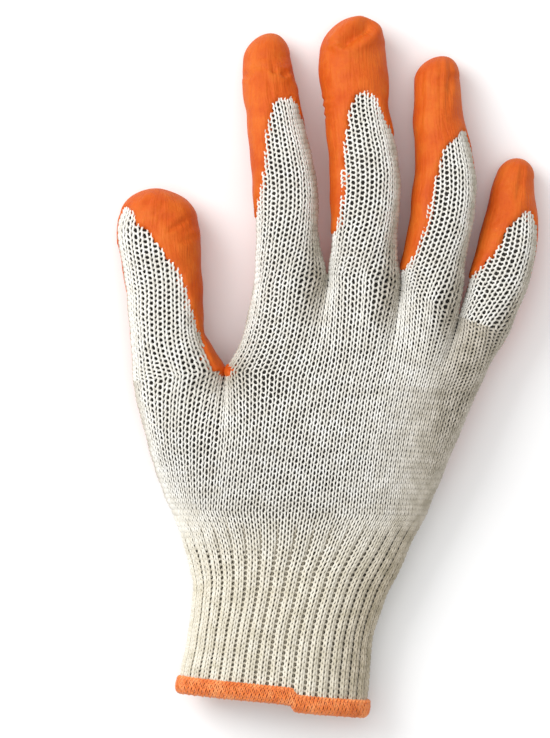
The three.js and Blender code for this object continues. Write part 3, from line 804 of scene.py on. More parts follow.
def vary_loops(flat, wales, courses, steps):
    loops = flat.reshape(courses, wales, steps + 1, 3)
    middle = loops.mean(axis=2, keepdims=True)
    reach = 1 + REACH_VARIES * RANDOM.standard_normal((courses, wales, 1))
    shift = SHIFT_VARIES * RANDOM.standard_normal((courses, wales, 1))
    fade = np.sin(np.linspace(0, math.pi, steps + 1))
    from_middle = (loops[..., 1] - middle[..., 1]) * (1 + (reach - 1) * fade)
    loops[..., 1] = middle[..., 1] + from_middle + shift * fade
    loops[..., 0] += ASIDE_VARIES * RANDOM.standard_normal((courses, wales, 1)) * fade
    return loops.reshape(-1, 3)


print("loops vary by", REACH_VARIES, "in reach and", SHIFT_VARIES, "of a course in place")

# %% [markdown]
# The chains become yarn at the end, once they lie on the form: a curve through each chain gets a
# round bevel with a thickness of its own at every point. The yarn also keeps an attribute with the
# slack of the knit, which its colour reads later to paint shade on the yarn.

# %% Yarn from chains
YARN_WELD = 0.00002


def yarn_from_chains(obj, thickness, slack_and_shade):
    """Chains of edges become curves, the bevel makes them yarn, and that becomes a mesh again.
    Its vertices come in rings of four. Each ring takes its slack, the value that paints shade on
    the yarn, from the nearest chain point."""
    thickest = max(thickness)
    places = points_of(obj)
    chain_points = KDTree(len(places))
    for index, place in enumerate(places):
        chain_points.insert(place, index)
    chain_points.balance()
    weld(obj, YARN_WELD)
    take_up(obj)
    bpy.ops.object.convert(target="CURVE")
    curve = bpy.context.object
    for spline in curve.data.splines:
        nearest = [chain_points.find(point.co.xyz)[1] for point in spline.points]
        spline.points.foreach_set("radius", thickness[nearest] / thickest)
    curve.data.bevel_mode = "ROUND"
    curve.data.bevel_depth = thickest / 1000
    curve.data.bevel_resolution = 0
    curve.data.use_fill_caps = True
    take_up(curve)
    bpy.ops.object.convert(target="MESH")
    bpy.ops.object.shade_smooth()
    yarn = bpy.context.object
    ring_centres = points_of(yarn).reshape(-1, 4, 3).mean(axis=1)
    nearest = [chain_points.find(centre)[1] for centre in ring_centres]
    shade = yarn.data.attributes.new("slack_and_painted_shade", "FLOAT", "POINT")
    shade.data.foreach_set("value", np.repeat(slack_and_shade[nearest], 4))
    return yarn


# %% [markdown]
# Over the back of a finger the knit is stretched, and its yarn is thin and the holes stand open.
# Down the sides it is slack, so the yarn is thicker and closes the holes. The slack side runs on a
# little below the root of each finger. A value from 0 to 1 says how slack the knit is at a place.
# It makes the yarn thicker, and the same value paints shade on the yarn's colour: painted shade,
# deepest on the right-hand sides and round the thumb's crotch. The thumb was stretched less than
# the fingers, and the hand more.

# %% Thick and thin yarn
YARN_RADII = {"thumb": 0.445, "index": 0.39, "middle": 0.395, "ring": 0.39, "little": 0.39}
SIDE_SWELL = 0.2
# the slack thickens the yarn and also paints shade on its colour
SLACK_AND_SHADE_RIGHT, SLACK_AND_SHADE_LEFT = (0.64, 0.84), (0.06, 0.0)
SLACK_AND_SHADE_HAND_RIGHT, SLACK_AND_SHADE_HAND_LEFT = (0.60, 0.94), (0.04, 0.0)
SLACK_AND_SHADE_COURSES = 14
SLACK_AND_SHADE_ROUND_CROTCH = 9.0


def ramp(value, begin, end):
    share = np.clip((value - begin) / (end - begin), 0, 1)
    return share * share * (3 - 2 * share)


def share_across(name, flat):
    """How far a point lies from the left edge to the right, on the back and on the palm alike."""
    half = wales_of(name) / 2
    around = flat[:, 0] % (2 * half)
    return np.minimum(around, 2 * half - around) / half


def finger_at(name, flat):
    """The finger whose wale this is, counted from the left, with its share inside that finger."""
    fingers = FOUR_FINGERS if name == "knuckles" else tuple(FINGERS)
    bounds = np.cumsum([0] + [WALES[finger] for finger in fingers])
    return np.interp(share_across(name, flat) * bounds[-1], bounds, range(len(bounds))), fingers


print("the middle stitch of the hand is", share_across("hand", middle_stitch), "across")

# %% [markdown]
# With these shares, the slack, which also sets the painted shade, and the yarn's own thickness
# follow for any place on a tube. Below the roots the thickness of each finger's yarn fades into the
# hand's.

# %% Slack, which also paints shade, and thickness
def slack_and_painted_shade(name, flat):
    across = share_across(name, flat)
    if name in FINGERS:
        return np.maximum(ramp(across, *SLACK_AND_SHADE_RIGHT), ramp(across, *SLACK_AND_SHADE_LEFT))
    place = look_up(SHEETS[name], flat[:, 0], -flat[:, 1])
    from_crotch = np.hypot(place[:, 0] - CROTCH[0], place[:, 1] - CROTCH[1])
    near_crotch = np.exp(-(from_crotch / SLACK_AND_SHADE_ROUND_CROTCH) ** 2)
    edges = np.maximum(ramp(across, *SLACK_AND_SHADE_HAND_RIGHT), ramp(across, *SLACK_AND_SHADE_HAND_LEFT))
    edges = np.maximum(edges, near_crotch)
    if name == "hand":
        return edges
    inside = finger_at(name, flat)[0] % 1
    beside = np.maximum(ramp(inside, *SLACK_AND_SHADE_RIGHT), ramp(inside, *SLACK_AND_SHADE_LEFT))
    return np.maximum(edges, beside * ramp(-flat[:, 1], SLACK_AND_SHADE_COURSES, 0))


def yarn_radius(name, flat):
    if name in FINGERS:
        return np.full(len(flat), YARN_RADII[name])
    place, fingers = finger_at(name, flat)
    radii = np.array([YARN_RADII[finger] for finger in fingers])
    above = radii[np.clip(place, 0, len(fingers) - 1).astype(int)]
    fade = ramp(-flat[:, 1], 0, SLACK_AND_SHADE_COURSES)
    if name == "hand":
        fade = np.where(place < 1, fade, 1)
    return between(above, YARN_RADIUS, fade)


places = np.array([[0.5, -20.0], [28.5, -20.0], [56.5, -20.0]])
print("slack at the left, middle and right of the hand:", slack_and_painted_shade("hand", places).round(2))

# %% [markdown]
# Now each tube is knitted. Loops that lie well under the coat are left out. Where only a part of a
# loop lies under it, the loop stays, so that the coat ends between the loops as it does on a dipped
# glove.

# %% Knit the tubes
UNDER_COAT = 1.6


def knit_tube(name, steps):
    wales, courses = wales_of(name), courses_of(name)
    swatch = flat_loops("yarn_" + name, wales, courses, loop_places(steps))
    flat = vary_loops(points_of(swatch), wales, courses, steps)
    cells = np.array([(i + 0.5, -(j + 0.5), 0) for j in range(courses) for i in range(wales)])
    hidden = bare_depth(name, cells) < -UNDER_COAT
    # the slack sets the yarn's thickness and, through an attribute, its painted shade
    slack_and_shade = slack_and_painted_shade(name, flat)
    thickness = yarn_radius(name, flat) * (1 + SIDE_SWELL * slack_and_shade)
    move_points(swatch, on_form(name, flat, flat[:, 2] - LOOP_LIFT - YARN_RADIUS))
    gone = np.repeat(hidden, steps + 1)
    drop_points(swatch, gone)
    print(name, "has", int((~hidden).sum()), "loops that show")
    return yarn_from_chains(swatch, thickness[~gone], slack_and_shade[~gone])


YARN = {name: knit_tube(name, 10) for name in (*FINGERS, "knuckles", "hand")}

# %% [markdown]
# ## The ribbed cuff
# A rib is two wales of plain loops pulled together into a ridge, and one wale between ridges that
# is knitted from the other side, so it sinks in. Ribs pressed into smooth knit would look like a
# corrugated sheet, so here the loops themselves are moved: the ridges take most of the width, and
# the groove's loops turn their backs. Where the cuff begins, the ribs grow out of the plain knit.
# Two swatches, back and palm, keep each piece light.

# %% The shape of the ribs
RIB_FADE = 20.0
RIB_CREST = 1.1
RIB_GROOVE = -2.2
CREST_SHARE = 0.86
CREST_FLATNESS = 0.6
RIB_LOOP_OPEN = -0.35
RIB_YARN_RADIUS = 0.45
# the heights over which the yarn's painted shade deepens into a groove
GROOVE_PAINTED_SHADE = (0.1, -0.8)
COURSES_UNDER_HEM = 1


def rib_share(wales):
    """Pulls the two wales of a ridge together and narrows the groove's wale between ridges."""
    rib, inside = np.floor(wales / 3), wales / 3 - np.floor(wales / 3)
    crest = np.interp(inside, (0, 2 / 3, 1), (0, CREST_SHARE, 1))
    return 3 * (rib + crest)


def rib_height(wales):
    inside = (wales / 3) % 1
    crest = np.clip(inside / CREST_SHARE, 0, 1)
    groove = np.clip((inside - CREST_SHARE) / (1 - CREST_SHARE), 0, 1)
    on_crest = RIB_CREST * np.sin(math.pi * crest) ** CREST_FLATNESS
    in_groove = RIB_GROOVE * np.sin(math.pi * groove)
    return np.where(inside < CREST_SHARE, on_crest, in_groove)


print("a ridge stands", RIB_CREST, "mm above the form and a groove", -RIB_GROOVE, "mm below it")

# %% [markdown]
# The ribs are knitted like the plain tubes. The loops of the grooves are turned to their reverse,
# and every loop is narrower than on the hand, because the elastic pulls the wales together.

# %% Knit the ribs
def knit_cuff(name, first, count, steps=10):
    courses = courses_of("cuff") + COURSES_UNDER_HEM
    swatch = flat_loops(name, count, courses, loop_places(steps))
    flat = vary_loops(points_of(swatch), count, courses, steps)
    flat[:, 0] += first
    growing = ramp(-flat[:, 1] * COURSE, 0, RIB_FADE)
    turn = np.tile(np.linspace(0, 2 * math.pi, steps + 1), count * courses)
    flat[:, 0] += (LOOP_OPEN - RIB_LOOP_OPEN) * growing * np.sin(turn) / (2 * math.pi)
    cell = np.tile(np.repeat(np.arange(count) + first, steps + 1), courses)
    purl = np.where(cell % 3 == 2, 1 - 2 * growing, 1)
    radius = between(YARN_RADIUS, RIB_YARN_RADIUS, growing)
    lift = flat[:, 2] * purl - LOOP_LIFT - radius
    flat[:, 0] += (rib_share(flat[:, 0]) - flat[:, 0]) * growing
    height = rib_height(flat[:, 0]) * growing
    # painted shade: the yarn darkens towards the cuff's right-hand edge and down into the grooves
    at_edge = ramp(share_across("cuff", flat), *SLACK_AND_SHADE_HAND_RIGHT)
    slack_and_shade = np.maximum(at_edge, ramp(height, *GROOVE_PAINTED_SHADE))
    move_points(swatch, on_form("cuff", flat, lift + height))
    print(name, "has", count * courses, "loops")
    return yarn_from_chains(swatch, radius, slack_and_shade)


YARN["cuff_back"] = knit_cuff("yarn_cuff_back", 0, HAND_WALES)
YARN["cuff_palm"] = knit_cuff("yarn_cuff_palm", HAND_WALES, HAND_WALES)


# %% [markdown]
# ## Creases
# The coat creased where a hand had bent it, and the knit below went with it. A row for each crease
# gives its two ends, how deep it is and how wide, in millimetres. The skin rises into a lip on both
# sides of a crease. The creases could be sculpted with a brush, but a table of them is easy to hold
# against the real glove and to correct.

# %% Creases in the coat
CREASES = [
    (-11.0, 154.3, -5.0, 152.8, 0.4, 0.8), (-5.0, 152.8, -1.4, 151.6, 0.6, 0.9),
    (-1.4, 151.6, 1.8, 153.6, 0.5, 0.9), (-5.8, 155.8, -5.0, 153.0, 0.4, 0.8),
    (-17.0, 151.6, -12.6, 151.0, 0.7, 1.0), (1.6, 152.6, 3.9, 147.6, 0.5, 0.8),
    (-9.6, 147.6, -9.2, 139.6, 0.25, 0.6), (-6.4, 148.6, -6.0, 141.0, 0.25, 0.6),
    (-3.4, 148.0, -3.0, 142.0, 0.25, 0.6), (20.5, 162.9, 27.2, 167.4, 2.3, 1.9),
    (16.3, 162.8, 20.0, 161.6, 1.0, 0.8), (15.0, 158.0, 16.2, 160.4, 0.4, 0.8),
    (11.8, 142.5, 15.6, 143.2, 0.35, 0.7), (11.6, 139.4, 16.2, 140.4, 0.35, 0.7),
    (12.2, 136.4, 15.4, 137.0, 0.3, 0.6), (47.6, 154.6, 46.9, 134.5, 0.25, 0.8),
    (50.6, 152.6, 50.0, 134.0, 0.3, 0.9), (53.6, 157.0, 52.4, 137.5, 0.3, 0.9),
    (56.6, 156.4, 56.2, 147.0, 0.45, 1.0), (56.2, 147.0, 55.0, 138.0, 0.3, 0.9),
    (57.2, 151.5, 61.0, 150.4, 0.5, 0.8),
    (-41.2, 97.0, -36.6, 100.4, 0.6, 0.9), (-37.2, 93.0, -33.6, 94.6, 0.4, 0.8),
    (-50.4, 104.6, -48.4, 107.6, 0.5, 0.8), (-46.0, 103.0, -44.0, 105.4, 0.4, 0.8),
    (82.0, 118.6, 80.4, 108.0, 0.5, 0.9), (76.2, 112.6, 79.4, 114.8, 0.3, 0.8),
    (72.4, 95.6, 75.6, 98.4, 0.4, 0.8)]
LIP_SHARE, LIP_PLACE = 0.5, 1.9
CREASED_ABOVE, CREASE_FADE = 10.0, 4.0


def creased(name, flat):
    points = look_up(SHEETS[name], flat[:, 0], -flat[:, 1])
    total = np.zeros(len(points))
    for x0, y0, x1, y1, depth, width in CREASES:
        begin, way = np.array((x0, y0)), np.array((x1 - x0, y1 - y0))
        along = np.clip((points[:, :2] - begin) @ way / (way @ way), 0, 1)
        off = np.linalg.norm(points[:, :2] - begin - along[:, None] * way, axis=1) / width
        total += depth * (LIP_SHARE * np.exp(-(off - LIP_PLACE) ** 2) - np.exp(-off ** 2))
    return total * ramp(points[:, 2], CREASED_ABOVE, CREASED_ABOVE + CREASE_FADE)


print("creases:", len(CREASES))

# %% [markdown]
# ## The inside of the knit
# Seen through its holes, knit is dark, and seen from the mouth its inside is pale. Loops alone
# would let the light fall in from all sides, and the holes would shine. A thin closed lining behind
# the loops stops it. Each tube's lining starts as a grid laid flat, is drawn on to the form, and
# all of them are joined and welded. Solidify then gives the lining its wall.

# %% Grids and joins
SHEET_WELD = 0.00004


def flat_grid(name, wales, courses, per_wale, per_course):
    nothing_selected()
    bpy.ops.mesh.primitive_grid_add(
        x_subdivisions=wales * per_wale, y_subdivisions=courses * per_course,
        size=1, location=(0.5, -0.5, 0))
    grid = bpy.context.object
    grid.name = name
    bpy.ops.object.transform_apply(location=True)
    grid.scale = (wales, courses, 1)
    bpy.ops.object.transform_apply(scale=True)
    return grid


def join_up(name, pieces):
    nothing_selected()
    for piece in pieces:
        piece.select_set(True)
    bpy.context.view_layer.objects.active = pieces[0]
    bpy.ops.object.join()
    joined = bpy.context.object
    joined.name = name
    return joined


print("sheets are welded where their points lie within", SHEET_WELD * 1000, "mm")

# %% [markdown]
# The lining lies about a millimetre and a half below the form, behind the loops. In the cuff it
# follows the ribs and lies a little higher, so that the bottoms of the grooves aren't black.

# %% Line the tubes
LINING_DEPTH = 1.45
LINING_WALL = 0.25
GROOVE_FLOOR = 0.15


def lining_of(name):
    grid = flat_grid("lining_" + name, wales_of(name), courses_of(name), 1, 1)
    flat = points_of(grid)
    height = np.full(len(flat), -LINING_DEPTH)
    if name == "cuff":
        growing = ramp(-flat[:, 1] * COURSE, 0, RIB_FADE)
        flat[:, 0] += (rib_share(flat[:, 0]) - flat[:, 0]) * growing
        height += GROOVE_FLOOR * growing
    else:
        height += np.minimum(creased(name, flat), 0)
    move_points(grid, on_form(name, flat, height))
    return grid


lining = join_up("knit_lining", [lining_of(name) for name in SHEETS])
weld(lining, SHEET_WELD)
apply_modifier(lining, "SOLIDIFY", thickness=LINING_WALL / 1000, offset=-1)
take_up(lining)
bpy.ops.object.shade_smooth()
print("lining faces:", len(lining.data.polygons))


# %% [markdown]
# ## The dipped coat
# The coat is one skin over the palm and the ends of the fingers. It could be painted on the yarn,
# but real latex fills the knit and hides its loops. So it is a skin of its own, made from flat
# grids again, finer ones. Where the coat ends it sinks into the knit: the skin drops below the tops
# of the loops, so they come out through it one by one. That makes the saw-toothed edge of a dipped
# glove without drawing it.

# %% Skin over the form
COAT_HEIGHT = 0.45
COAT_SUNK = -1.15
COAT_WALL = 0.5
COAT_GRID = (3, 2)
COAT_REACH = 1.6
EDGE_SINKS = (-0.72, 0.48)
EDGE_WANDER = 0.3


def wander(flat):
    """How the edge wanders from wale to wale, in mm."""
    wale, course = flat[:, 0], -flat[:, 1]
    return np.sin(2.9 * wale + 0.6 * course) + 0.7 * np.sin(5.3 * wale - 1.1 * course + 1.7)


def coat_height(name, flat):
    depth = bare_depth(name, flat) + EDGE_WANDER * wander(flat)
    share = ramp(depth, *EDGE_SINKS)
    return between(COAT_HEIGHT + creased(name, flat), COAT_SUNK, share), depth


def coat_of(name):
    grid = flat_grid("coat_" + name, wales_of(name), courses_of(name), *COAT_GRID)
    flat = points_of(grid)
    corner = np.empty(len(grid.data.loops), int)
    grid.data.loops.foreach_get("vertex_index", corner)
    grid.data.uv_layers[0].data.foreach_set("uv", (flat[corner][:, :2] * (1, -1)).ravel())
    height, depth = coat_height(name, flat)
    move_points(grid, on_form(name, flat, height))
    drop_points(grid, depth > COAT_REACH)
    return grid


coat = join_up("latex_coat", [coat_of(name) for name in (*FINGERS, "knuckles", "hand")])
weld(coat, SHEET_WELD)
apply_modifier(coat, "SOLIDIFY", thickness=COAT_WALL / 1000, offset=-1)
take_up(coat)
bpy.ops.object.shade_smooth()
print("coat faces:", len(coat.data.polygons))

# %% [markdown]
# ## The overlocked hem
# A machine wraps the raw edge of the cuff in thread, which pulls it into a soft roll. The roll
# could be a bent tube, but its section is flat and it follows a slanted oval. So a flat grid is
# closed round the edge. Where the machine came round to its start, the hem steps down by a thread's
# width or two.

# %% The roll under the thread
HEM_HEIGHT, HEM_WALL, HEM_OVERHANG, HEM_GAP = 5.8, 3.4, 1.7, 0.3
HEM_COLUMNS = 240
HEM_POWER, HEM_CLEARANCE = 2.6, 0.45
HEM_STEP_HIGH, HEM_STEP_AT, HEM_STEP_LENGTH, HEM_STEP_REACH = 1.1, 0.299, 0.005, 0.16
CORE_ROWS, CORE_LIFT = 12, -0.35
last_section = np.array(CUFF_SECTIONS[-1])
mouth = section_ring(last_section, np.linspace(0, 1, HEM_COLUMNS // 2 + 1))
edge_way = unit(np.array((*(last_section[2:4] - last_section[0:2]), 0.0)))
mouth_down = np.array((edge_way[1], -edge_way[0], 0.0))
ring_way = np.roll(mouth, -1, axis=0) - np.roll(mouth, 1, axis=0)
mouth_out = unit(np.column_stack([-ring_way[:, 2], np.zeros(HEM_COLUMNS), ring_way[:, 0]]))


def on_hem(around, along, lift):
    """around counts once round the mouth from 0 to 1, along once round the roll's own thickness."""
    u = (around % 1) * HEM_COLUMNS
    low = np.floor(u).astype(int) % HEM_COLUMNS
    s = (u - np.floor(u))[:, None]
    base = mouth[low] * (1 - s) + mouth[(low + 1) % HEM_COLUMNS] * s
    out = mouth_out[low] * (1 - s) + mouth_out[(low + 1) % HEM_COLUMNS] * s
    angle = 2 * math.pi * along
    from_step = around % 1 - HEM_STEP_AT
    step = HEM_STEP_HIGH * np.tanh(from_step / HEM_STEP_LENGTH)
    step = step * np.exp(-(from_step / HEM_STEP_REACH) ** 2)
    across = HEM_OVERHANG - HEM_WALL / 2 + (HEM_WALL / 2 + lift) * np.cos(angle)
    half = HEM_HEIGHT / 2
    down = step + HEM_GAP + half - (half + lift) * powered(np.sin(angle), HEM_POWER)
    place = base + out * across[:, None] + mouth_down * down[:, None]
    place[:, 2] = np.maximum(place[:, 2], HEM_CLEARANCE + np.maximum(lift, 0))
    return (place + TABLE_TO_ROW) / 1000


roll = flat_grid("hem_roll", HEM_COLUMNS // 2, CORE_ROWS, 1, 1)
flat = points_of(roll)
around, along = flat[:, 0] / (HEM_COLUMNS // 2), flat[:, 1] / -CORE_ROWS
move_points(roll, on_hem(around, along, np.full(len(flat), CORE_LIFT)))
weld(roll, YARN_WELD)
take_up(roll)
bpy.ops.object.mode_set(mode="EDIT")
bpy.ops.mesh.select_all(action="SELECT")
bpy.ops.mesh.normals_make_consistent(inside=False)
bpy.ops.object.mode_set(mode="OBJECT")
bpy.ops.object.shade_smooth()
print("hem roll faces:", len(roll.data.polygons))

# %% [markdown]
# The thread is fine. It makes small slanted loops all over the roll, a few longer stitches lie
# across them, and a chain runs along the upper edge. The same loop and the same way to make yarn
# serve here too, only drawn round the roll instead of the form.

# %% The wrapped thread
HEM_WALES, HEM_COURSES, HEM_SLANT = 112, 11, 3.0
HEM_LOOP_OPEN, HEM_THREAD_RADIUS, HEM_THREAD_LIFT = 0.3, 0.29, -0.1
STITCHES, STITCH_RADIUS, STITCH_SLANT, STITCH_WOBBLE = 56, 0.26, -1.2, 0.25
STITCH_LIFT, STITCH_BULGE, STITCH_BULGES = 0.12, 0.2, 5
EDGE_LOOPS, EDGE_RADIUS, EDGE_LIFT, EDGE_AT = 110, 0.32, 0.25, 0.14
EDGE_STEPS, EDGE_LEAN, EDGE_WIDE, EDGE_TURN, EDGE_BULGE = 8, 1.1, 0.045, 0.6, 0.1


def thread_from(chains, around, along, height, radius):
    move_points(chains, on_hem(around, along, height))
    return yarn_from_chains(chains, np.full(len(around), radius), np.zeros(len(around)))


def looped_cover(steps=6):
    cover = flat_loops("hem_loops", HEM_WALES, HEM_COURSES, loop_places(steps, HEM_LOOP_OPEN))
    flat = vary_loops(points_of(cover), HEM_WALES, HEM_COURSES, steps)
    around = (flat[:, 0] - HEM_SLANT * flat[:, 1] / HEM_COURSES) / HEM_WALES
    height = flat[:, 2] + HEM_THREAD_LIFT
    return thread_from(cover, around, -flat[:, 1] / HEM_COURSES, height, HEM_THREAD_RADIUS)


def long_stitches(steps=16):
    turns = np.linspace(0, 1, steps + 1)
    places = [(0.5 + STITCH_SLANT * math.sin(2 * math.pi * t), -t, 0) for t in turns]
    stitches = chain("hem_stitches", places)
    repeat(stitches, STITCHES, (1, 0, 0))
    flat = points_of(stitches)
    wobble = np.repeat(STITCH_WOBBLE * RANDOM.standard_normal(STITCHES), steps + 1)
    height = STITCH_LIFT + STITCH_BULGE * np.sin(STITCH_BULGES * math.pi * flat[:, 1])
    around = (flat[:, 0] + wobble) / STITCHES
    return thread_from(stitches, around, -flat[:, 1], height, STITCH_RADIUS)


print("loops, stitches and edge loops:", HEM_WALES * HEM_COURSES, STITCHES, EDGE_LOOPS)

# %% [markdown]
# The chain along the edge locks the others. Each of its loops reaches forward through the next one.

# %% The chain along the hem
def edge_chain(along):
    """Loops along the hem, at a place round the roll."""
    turn = np.linspace(0, 2 * math.pi, EDGE_STEPS + 1)
    forward = (turn + EDGE_LEAN * np.sin(turn)) / (2 * math.pi)
    aside, out = EDGE_WIDE * np.sin(turn + EDGE_TURN), EDGE_BULGE * np.cos(turn)
    edge = chain("hem_edge", [tuple(place) for place in np.column_stack([forward, aside, out])])
    repeat(edge, EDGE_LOOPS, (1, 0, 0))
    flat = points_of(edge)
    around, height = flat[:, 0] / EDGE_LOOPS, flat[:, 2] + EDGE_LIFT
    return thread_from(edge, around, along + flat[:, 1], height, EDGE_RADIUS)


threads = join_up("hem_threads", [looped_cover(), long_stitches(), edge_chain(EDGE_AT)])
print("thread faces:", len(threads.data.polygons))


# %% [markdown]
# ## Finishes
# Pictures of cloth could be wrapped round the pieces, but they would blur close up and carry light
# and shade of their own. So every finish is made from noise, which is as sharp as the loops are.
# These helpers make the few nodes that all the finishes share.

# %% Helpers for finishes
def new_material(name):
    material = bpy.data.materials.new(name)
    material.use_nodes = True
    nodes, links = material.node_tree.nodes, material.node_tree.links
    return material, nodes, links, nodes["Principled BSDF"]


def noise_of(nodes, links, scale, detail=3.0, coordinates="Object"):
    where = nodes.new("ShaderNodeTexCoord")
    texture = nodes.new("ShaderNodeTexNoise")
    texture.inputs["Scale"].default_value = scale
    texture.inputs["Detail"].default_value = detail
    links.new(where.outputs[coordinates], texture.inputs["Vector"])
    return texture.outputs["Fac"]


def ramp_of(nodes, links, value, stops):
    ramp = nodes.new("ShaderNodeValToRGB")
    elements = ramp.color_ramp.elements
    while len(elements) < len(stops):
        elements.new(0.5)
    for element, (position, colour) in zip(elements, stops):
        element.position = position
        element.color = (*colour, 1)
    links.new(value, ramp.inputs["Fac"])
    return ramp.outputs["Color"]


def bump_from(nodes, links, value, shader, strength, distance):
    bump = nodes.new("ShaderNodeBump")
    bump.inputs["Strength"].default_value = strength
    bump.inputs["Distance"].default_value = distance
    links.new(value, bump.inputs["Height"])
    links.new(bump.outputs["Normal"], shader.inputs["Normal"])


print("helpers for noise, tones and bumps are ready")

# %% [markdown]
# The cotton of the cuff is creamier than that of the hand, as elastic is knitted in with it. One
# finish serves both, and changes its tone softly with the way down the cuff.

# %% Two tones of cotton
CREAM_FROM, CREAM_TO = -0.036, -0.080


def cream_share(nodes, links):
    """0 on the hand and 1 on the cuff, with a soft change round the wrist."""
    where = nodes.new("ShaderNodeTexCoord")
    parts = nodes.new("ShaderNodeSeparateXYZ")
    share = nodes.new("ShaderNodeMapRange")
    share.interpolation_type = "SMOOTHSTEP"
    share.inputs["From Min"].default_value = CREAM_FROM
    share.inputs["From Max"].default_value = CREAM_TO
    links.new(where.outputs["Object"], parts.inputs["Vector"])
    links.new(parts.outputs["Y"], share.inputs["Value"])
    return share.outputs["Result"]


def mixed(nodes, links, share, first, second, kind="MIX"):
    mix = nodes.new("ShaderNodeMix")
    mix.data_type = "RGBA"
    mix.blend_type = kind
    links.new(share, mix.inputs["Factor"])
    links.new(first, mix.inputs["A"])
    links.new(second, mix.inputs["B"])
    return mix.outputs["Result"]


def two_tones(nodes, links, value, hand_stops, cuff_stops):
    hand, cuff = ramp_of(nodes, links, value, hand_stops), ramp_of(nodes, links, value, cuff_stops)
    return mixed(nodes, links, cream_share(nodes, links), hand, cuff)


print("cotton turns creamy from", CREAM_FROM, "to", CREAM_TO, "m")

# %% [markdown]
# Undyed cotton is off-white with slubs: slightly darker and lighter stretches along the yarn, and a
# soft fuzz that lights up at the edges. The attribute made with the yarn darkens its colour where
# the knit is slack, along the right-hand sides and in the cuff's grooves: painted shade. The hem's
# thread is dyed orange.

# %% Yarn finishes
SLUB_SCALE, SLUB_DETAIL = 260, 4
FUZZ_SCALE, FUZZ_DETAIL = 2600, 2
FUZZ_STRENGTH, FUZZ_HEIGHT = 0.5, 0.0002
# painted shade: the colour that slack yarn is multiplied by
SLACK_PAINTED_SHADE = [(0.4, (0.56, 0.52, 0.45)), (0.6, (0.66, 0.61, 0.54))]
HAND_WHITES = [(0.32, (0.76, 0.73, 0.66)), (0.5, (0.84, 0.82, 0.76)), (0.68, (0.90, 0.89, 0.85))]
CUFF_CREAMS = [(0.32, (0.69, 0.64, 0.51)), (0.5, (0.77, 0.72, 0.60)), (0.68, (0.84, 0.80, 0.69))]
ORANGES = [(0.32, (0.76, 0.18, 0.03)), (0.5, (0.88, 0.25, 0.055)), (0.68, (0.94, 0.36, 0.12))]
DEEP_ORANGES = [(0.4, (0.42, 0.06, 0.01)), (0.6, (0.55, 0.10, 0.02))]


def yarn_material(name, stops, roughness, sheen, cuff_stops=None):
    material, nodes, links, shader = new_material(name)
    slubs = noise_of(nodes, links, SLUB_SCALE, SLUB_DETAIL)
    colour = two_tones(nodes, links, slubs, stops, cuff_stops or stops)
    # painted shade: the colour is multiplied darker where the slack attribute is high
    slack_and_shade = nodes.new("ShaderNodeAttribute")
    slack_and_shade.attribute_name = "slack_and_painted_shade"
    shade = ramp_of(nodes, links, slubs, SLACK_PAINTED_SHADE)
    colour = mixed(nodes, links, slack_and_shade.outputs["Fac"], colour, shade, "MULTIPLY")
    links.new(colour, shader.inputs["Base Color"])
    shader.inputs["Roughness"].default_value = roughness
    shader.inputs["Sheen Weight"].default_value = sheen
    shader.inputs["Sheen Roughness"].default_value = 0.5
    fuzz = noise_of(nodes, links, FUZZ_SCALE, FUZZ_DETAIL)
    bump_from(nodes, links, fuzz, shader, FUZZ_STRENGTH, FUZZ_HEIGHT)
    return material


cotton_yarn = yarn_material("undyed_cotton_yarn", HAND_WHITES, 0.95, 0.25, CUFF_CREAMS)
hem_thread = yarn_material("orange_overlock_thread", ORANGES, 0.9, 0.25)
hem_core = yarn_material("deep_orange_core", DEEP_ORANGES, 0.95, 0.1)
print("yarn finishes:", cotton_yarn.name, hem_thread.name)


# %% [markdown]
# The lining has three finishes. Its outer face is what shows through the holes, and it is painted
# near-black, a lighter brown in the cuff: painted shade. At the bottom of the ribs' grooves it is
# painted a shaded beige, darker than the yarn: painted shade too. Its inner face is the pale
# reverse of the knit.

# %% Lining finishes
PATCH_SCALE, WEAVE_SCALE = 60, 900
WEAVE_STRENGTH, WEAVE_HEIGHT = 0.6, 0.0004
# painted shade: the near-black of the lining's outer face behind the hand's holes, brown in the
# cuff
HOLE_SHADE = [(0.35, (0.022, 0.020, 0.017)), (0.65, (0.060, 0.054, 0.046))]
CUFF_HOLE_SHADE = [(0.35, (0.13, 0.115, 0.085)), (0.65, (0.20, 0.175, 0.13))]
# painted shade: the groove floor is a beige darker than the cuff's yarn
GROOVE_SHADE = [(0.35, (0.46, 0.42, 0.33)), (0.65, (0.56, 0.51, 0.41))]
REVERSE_PALE = [(0.35, (0.62, 0.57, 0.46)), (0.65, (0.78, 0.74, 0.63))]


def lining_material(name, stops, cuff_stops):
    material, nodes, links, shader = new_material(name)
    patches = noise_of(nodes, links, PATCH_SCALE, 2)
    links.new(two_tones(nodes, links, patches, stops, cuff_stops), shader.inputs["Base Color"])
    shader.inputs["Roughness"].default_value = 1.0
    weave = noise_of(nodes, links, WEAVE_SCALE, 2)
    bump_from(nodes, links, weave, shader, WEAVE_STRENGTH, WEAVE_HEIGHT)
    return material


shade_behind = lining_material("shade_behind_loops", HOLE_SHADE, CUFF_HOLE_SHADE)
groove_shade = lining_material("painted_shade_bottom_of_grooves", GROOVE_SHADE, GROOVE_SHADE)
pale_reverse = lining_material("reverse_of_knit", REVERSE_PALE, REVERSE_PALE)
print("lining finishes:", shade_behind.name, groove_shade.name, pale_reverse.name)


# %% [markdown]
# Latex takes the print of the knit below it. The coat's own UV map counts wales and courses, so a
# noise that is stretched along it gives fine streaks that follow the fingers. A noise in space
# alone would show the same grain in all directions, and the skin would look like plaster.

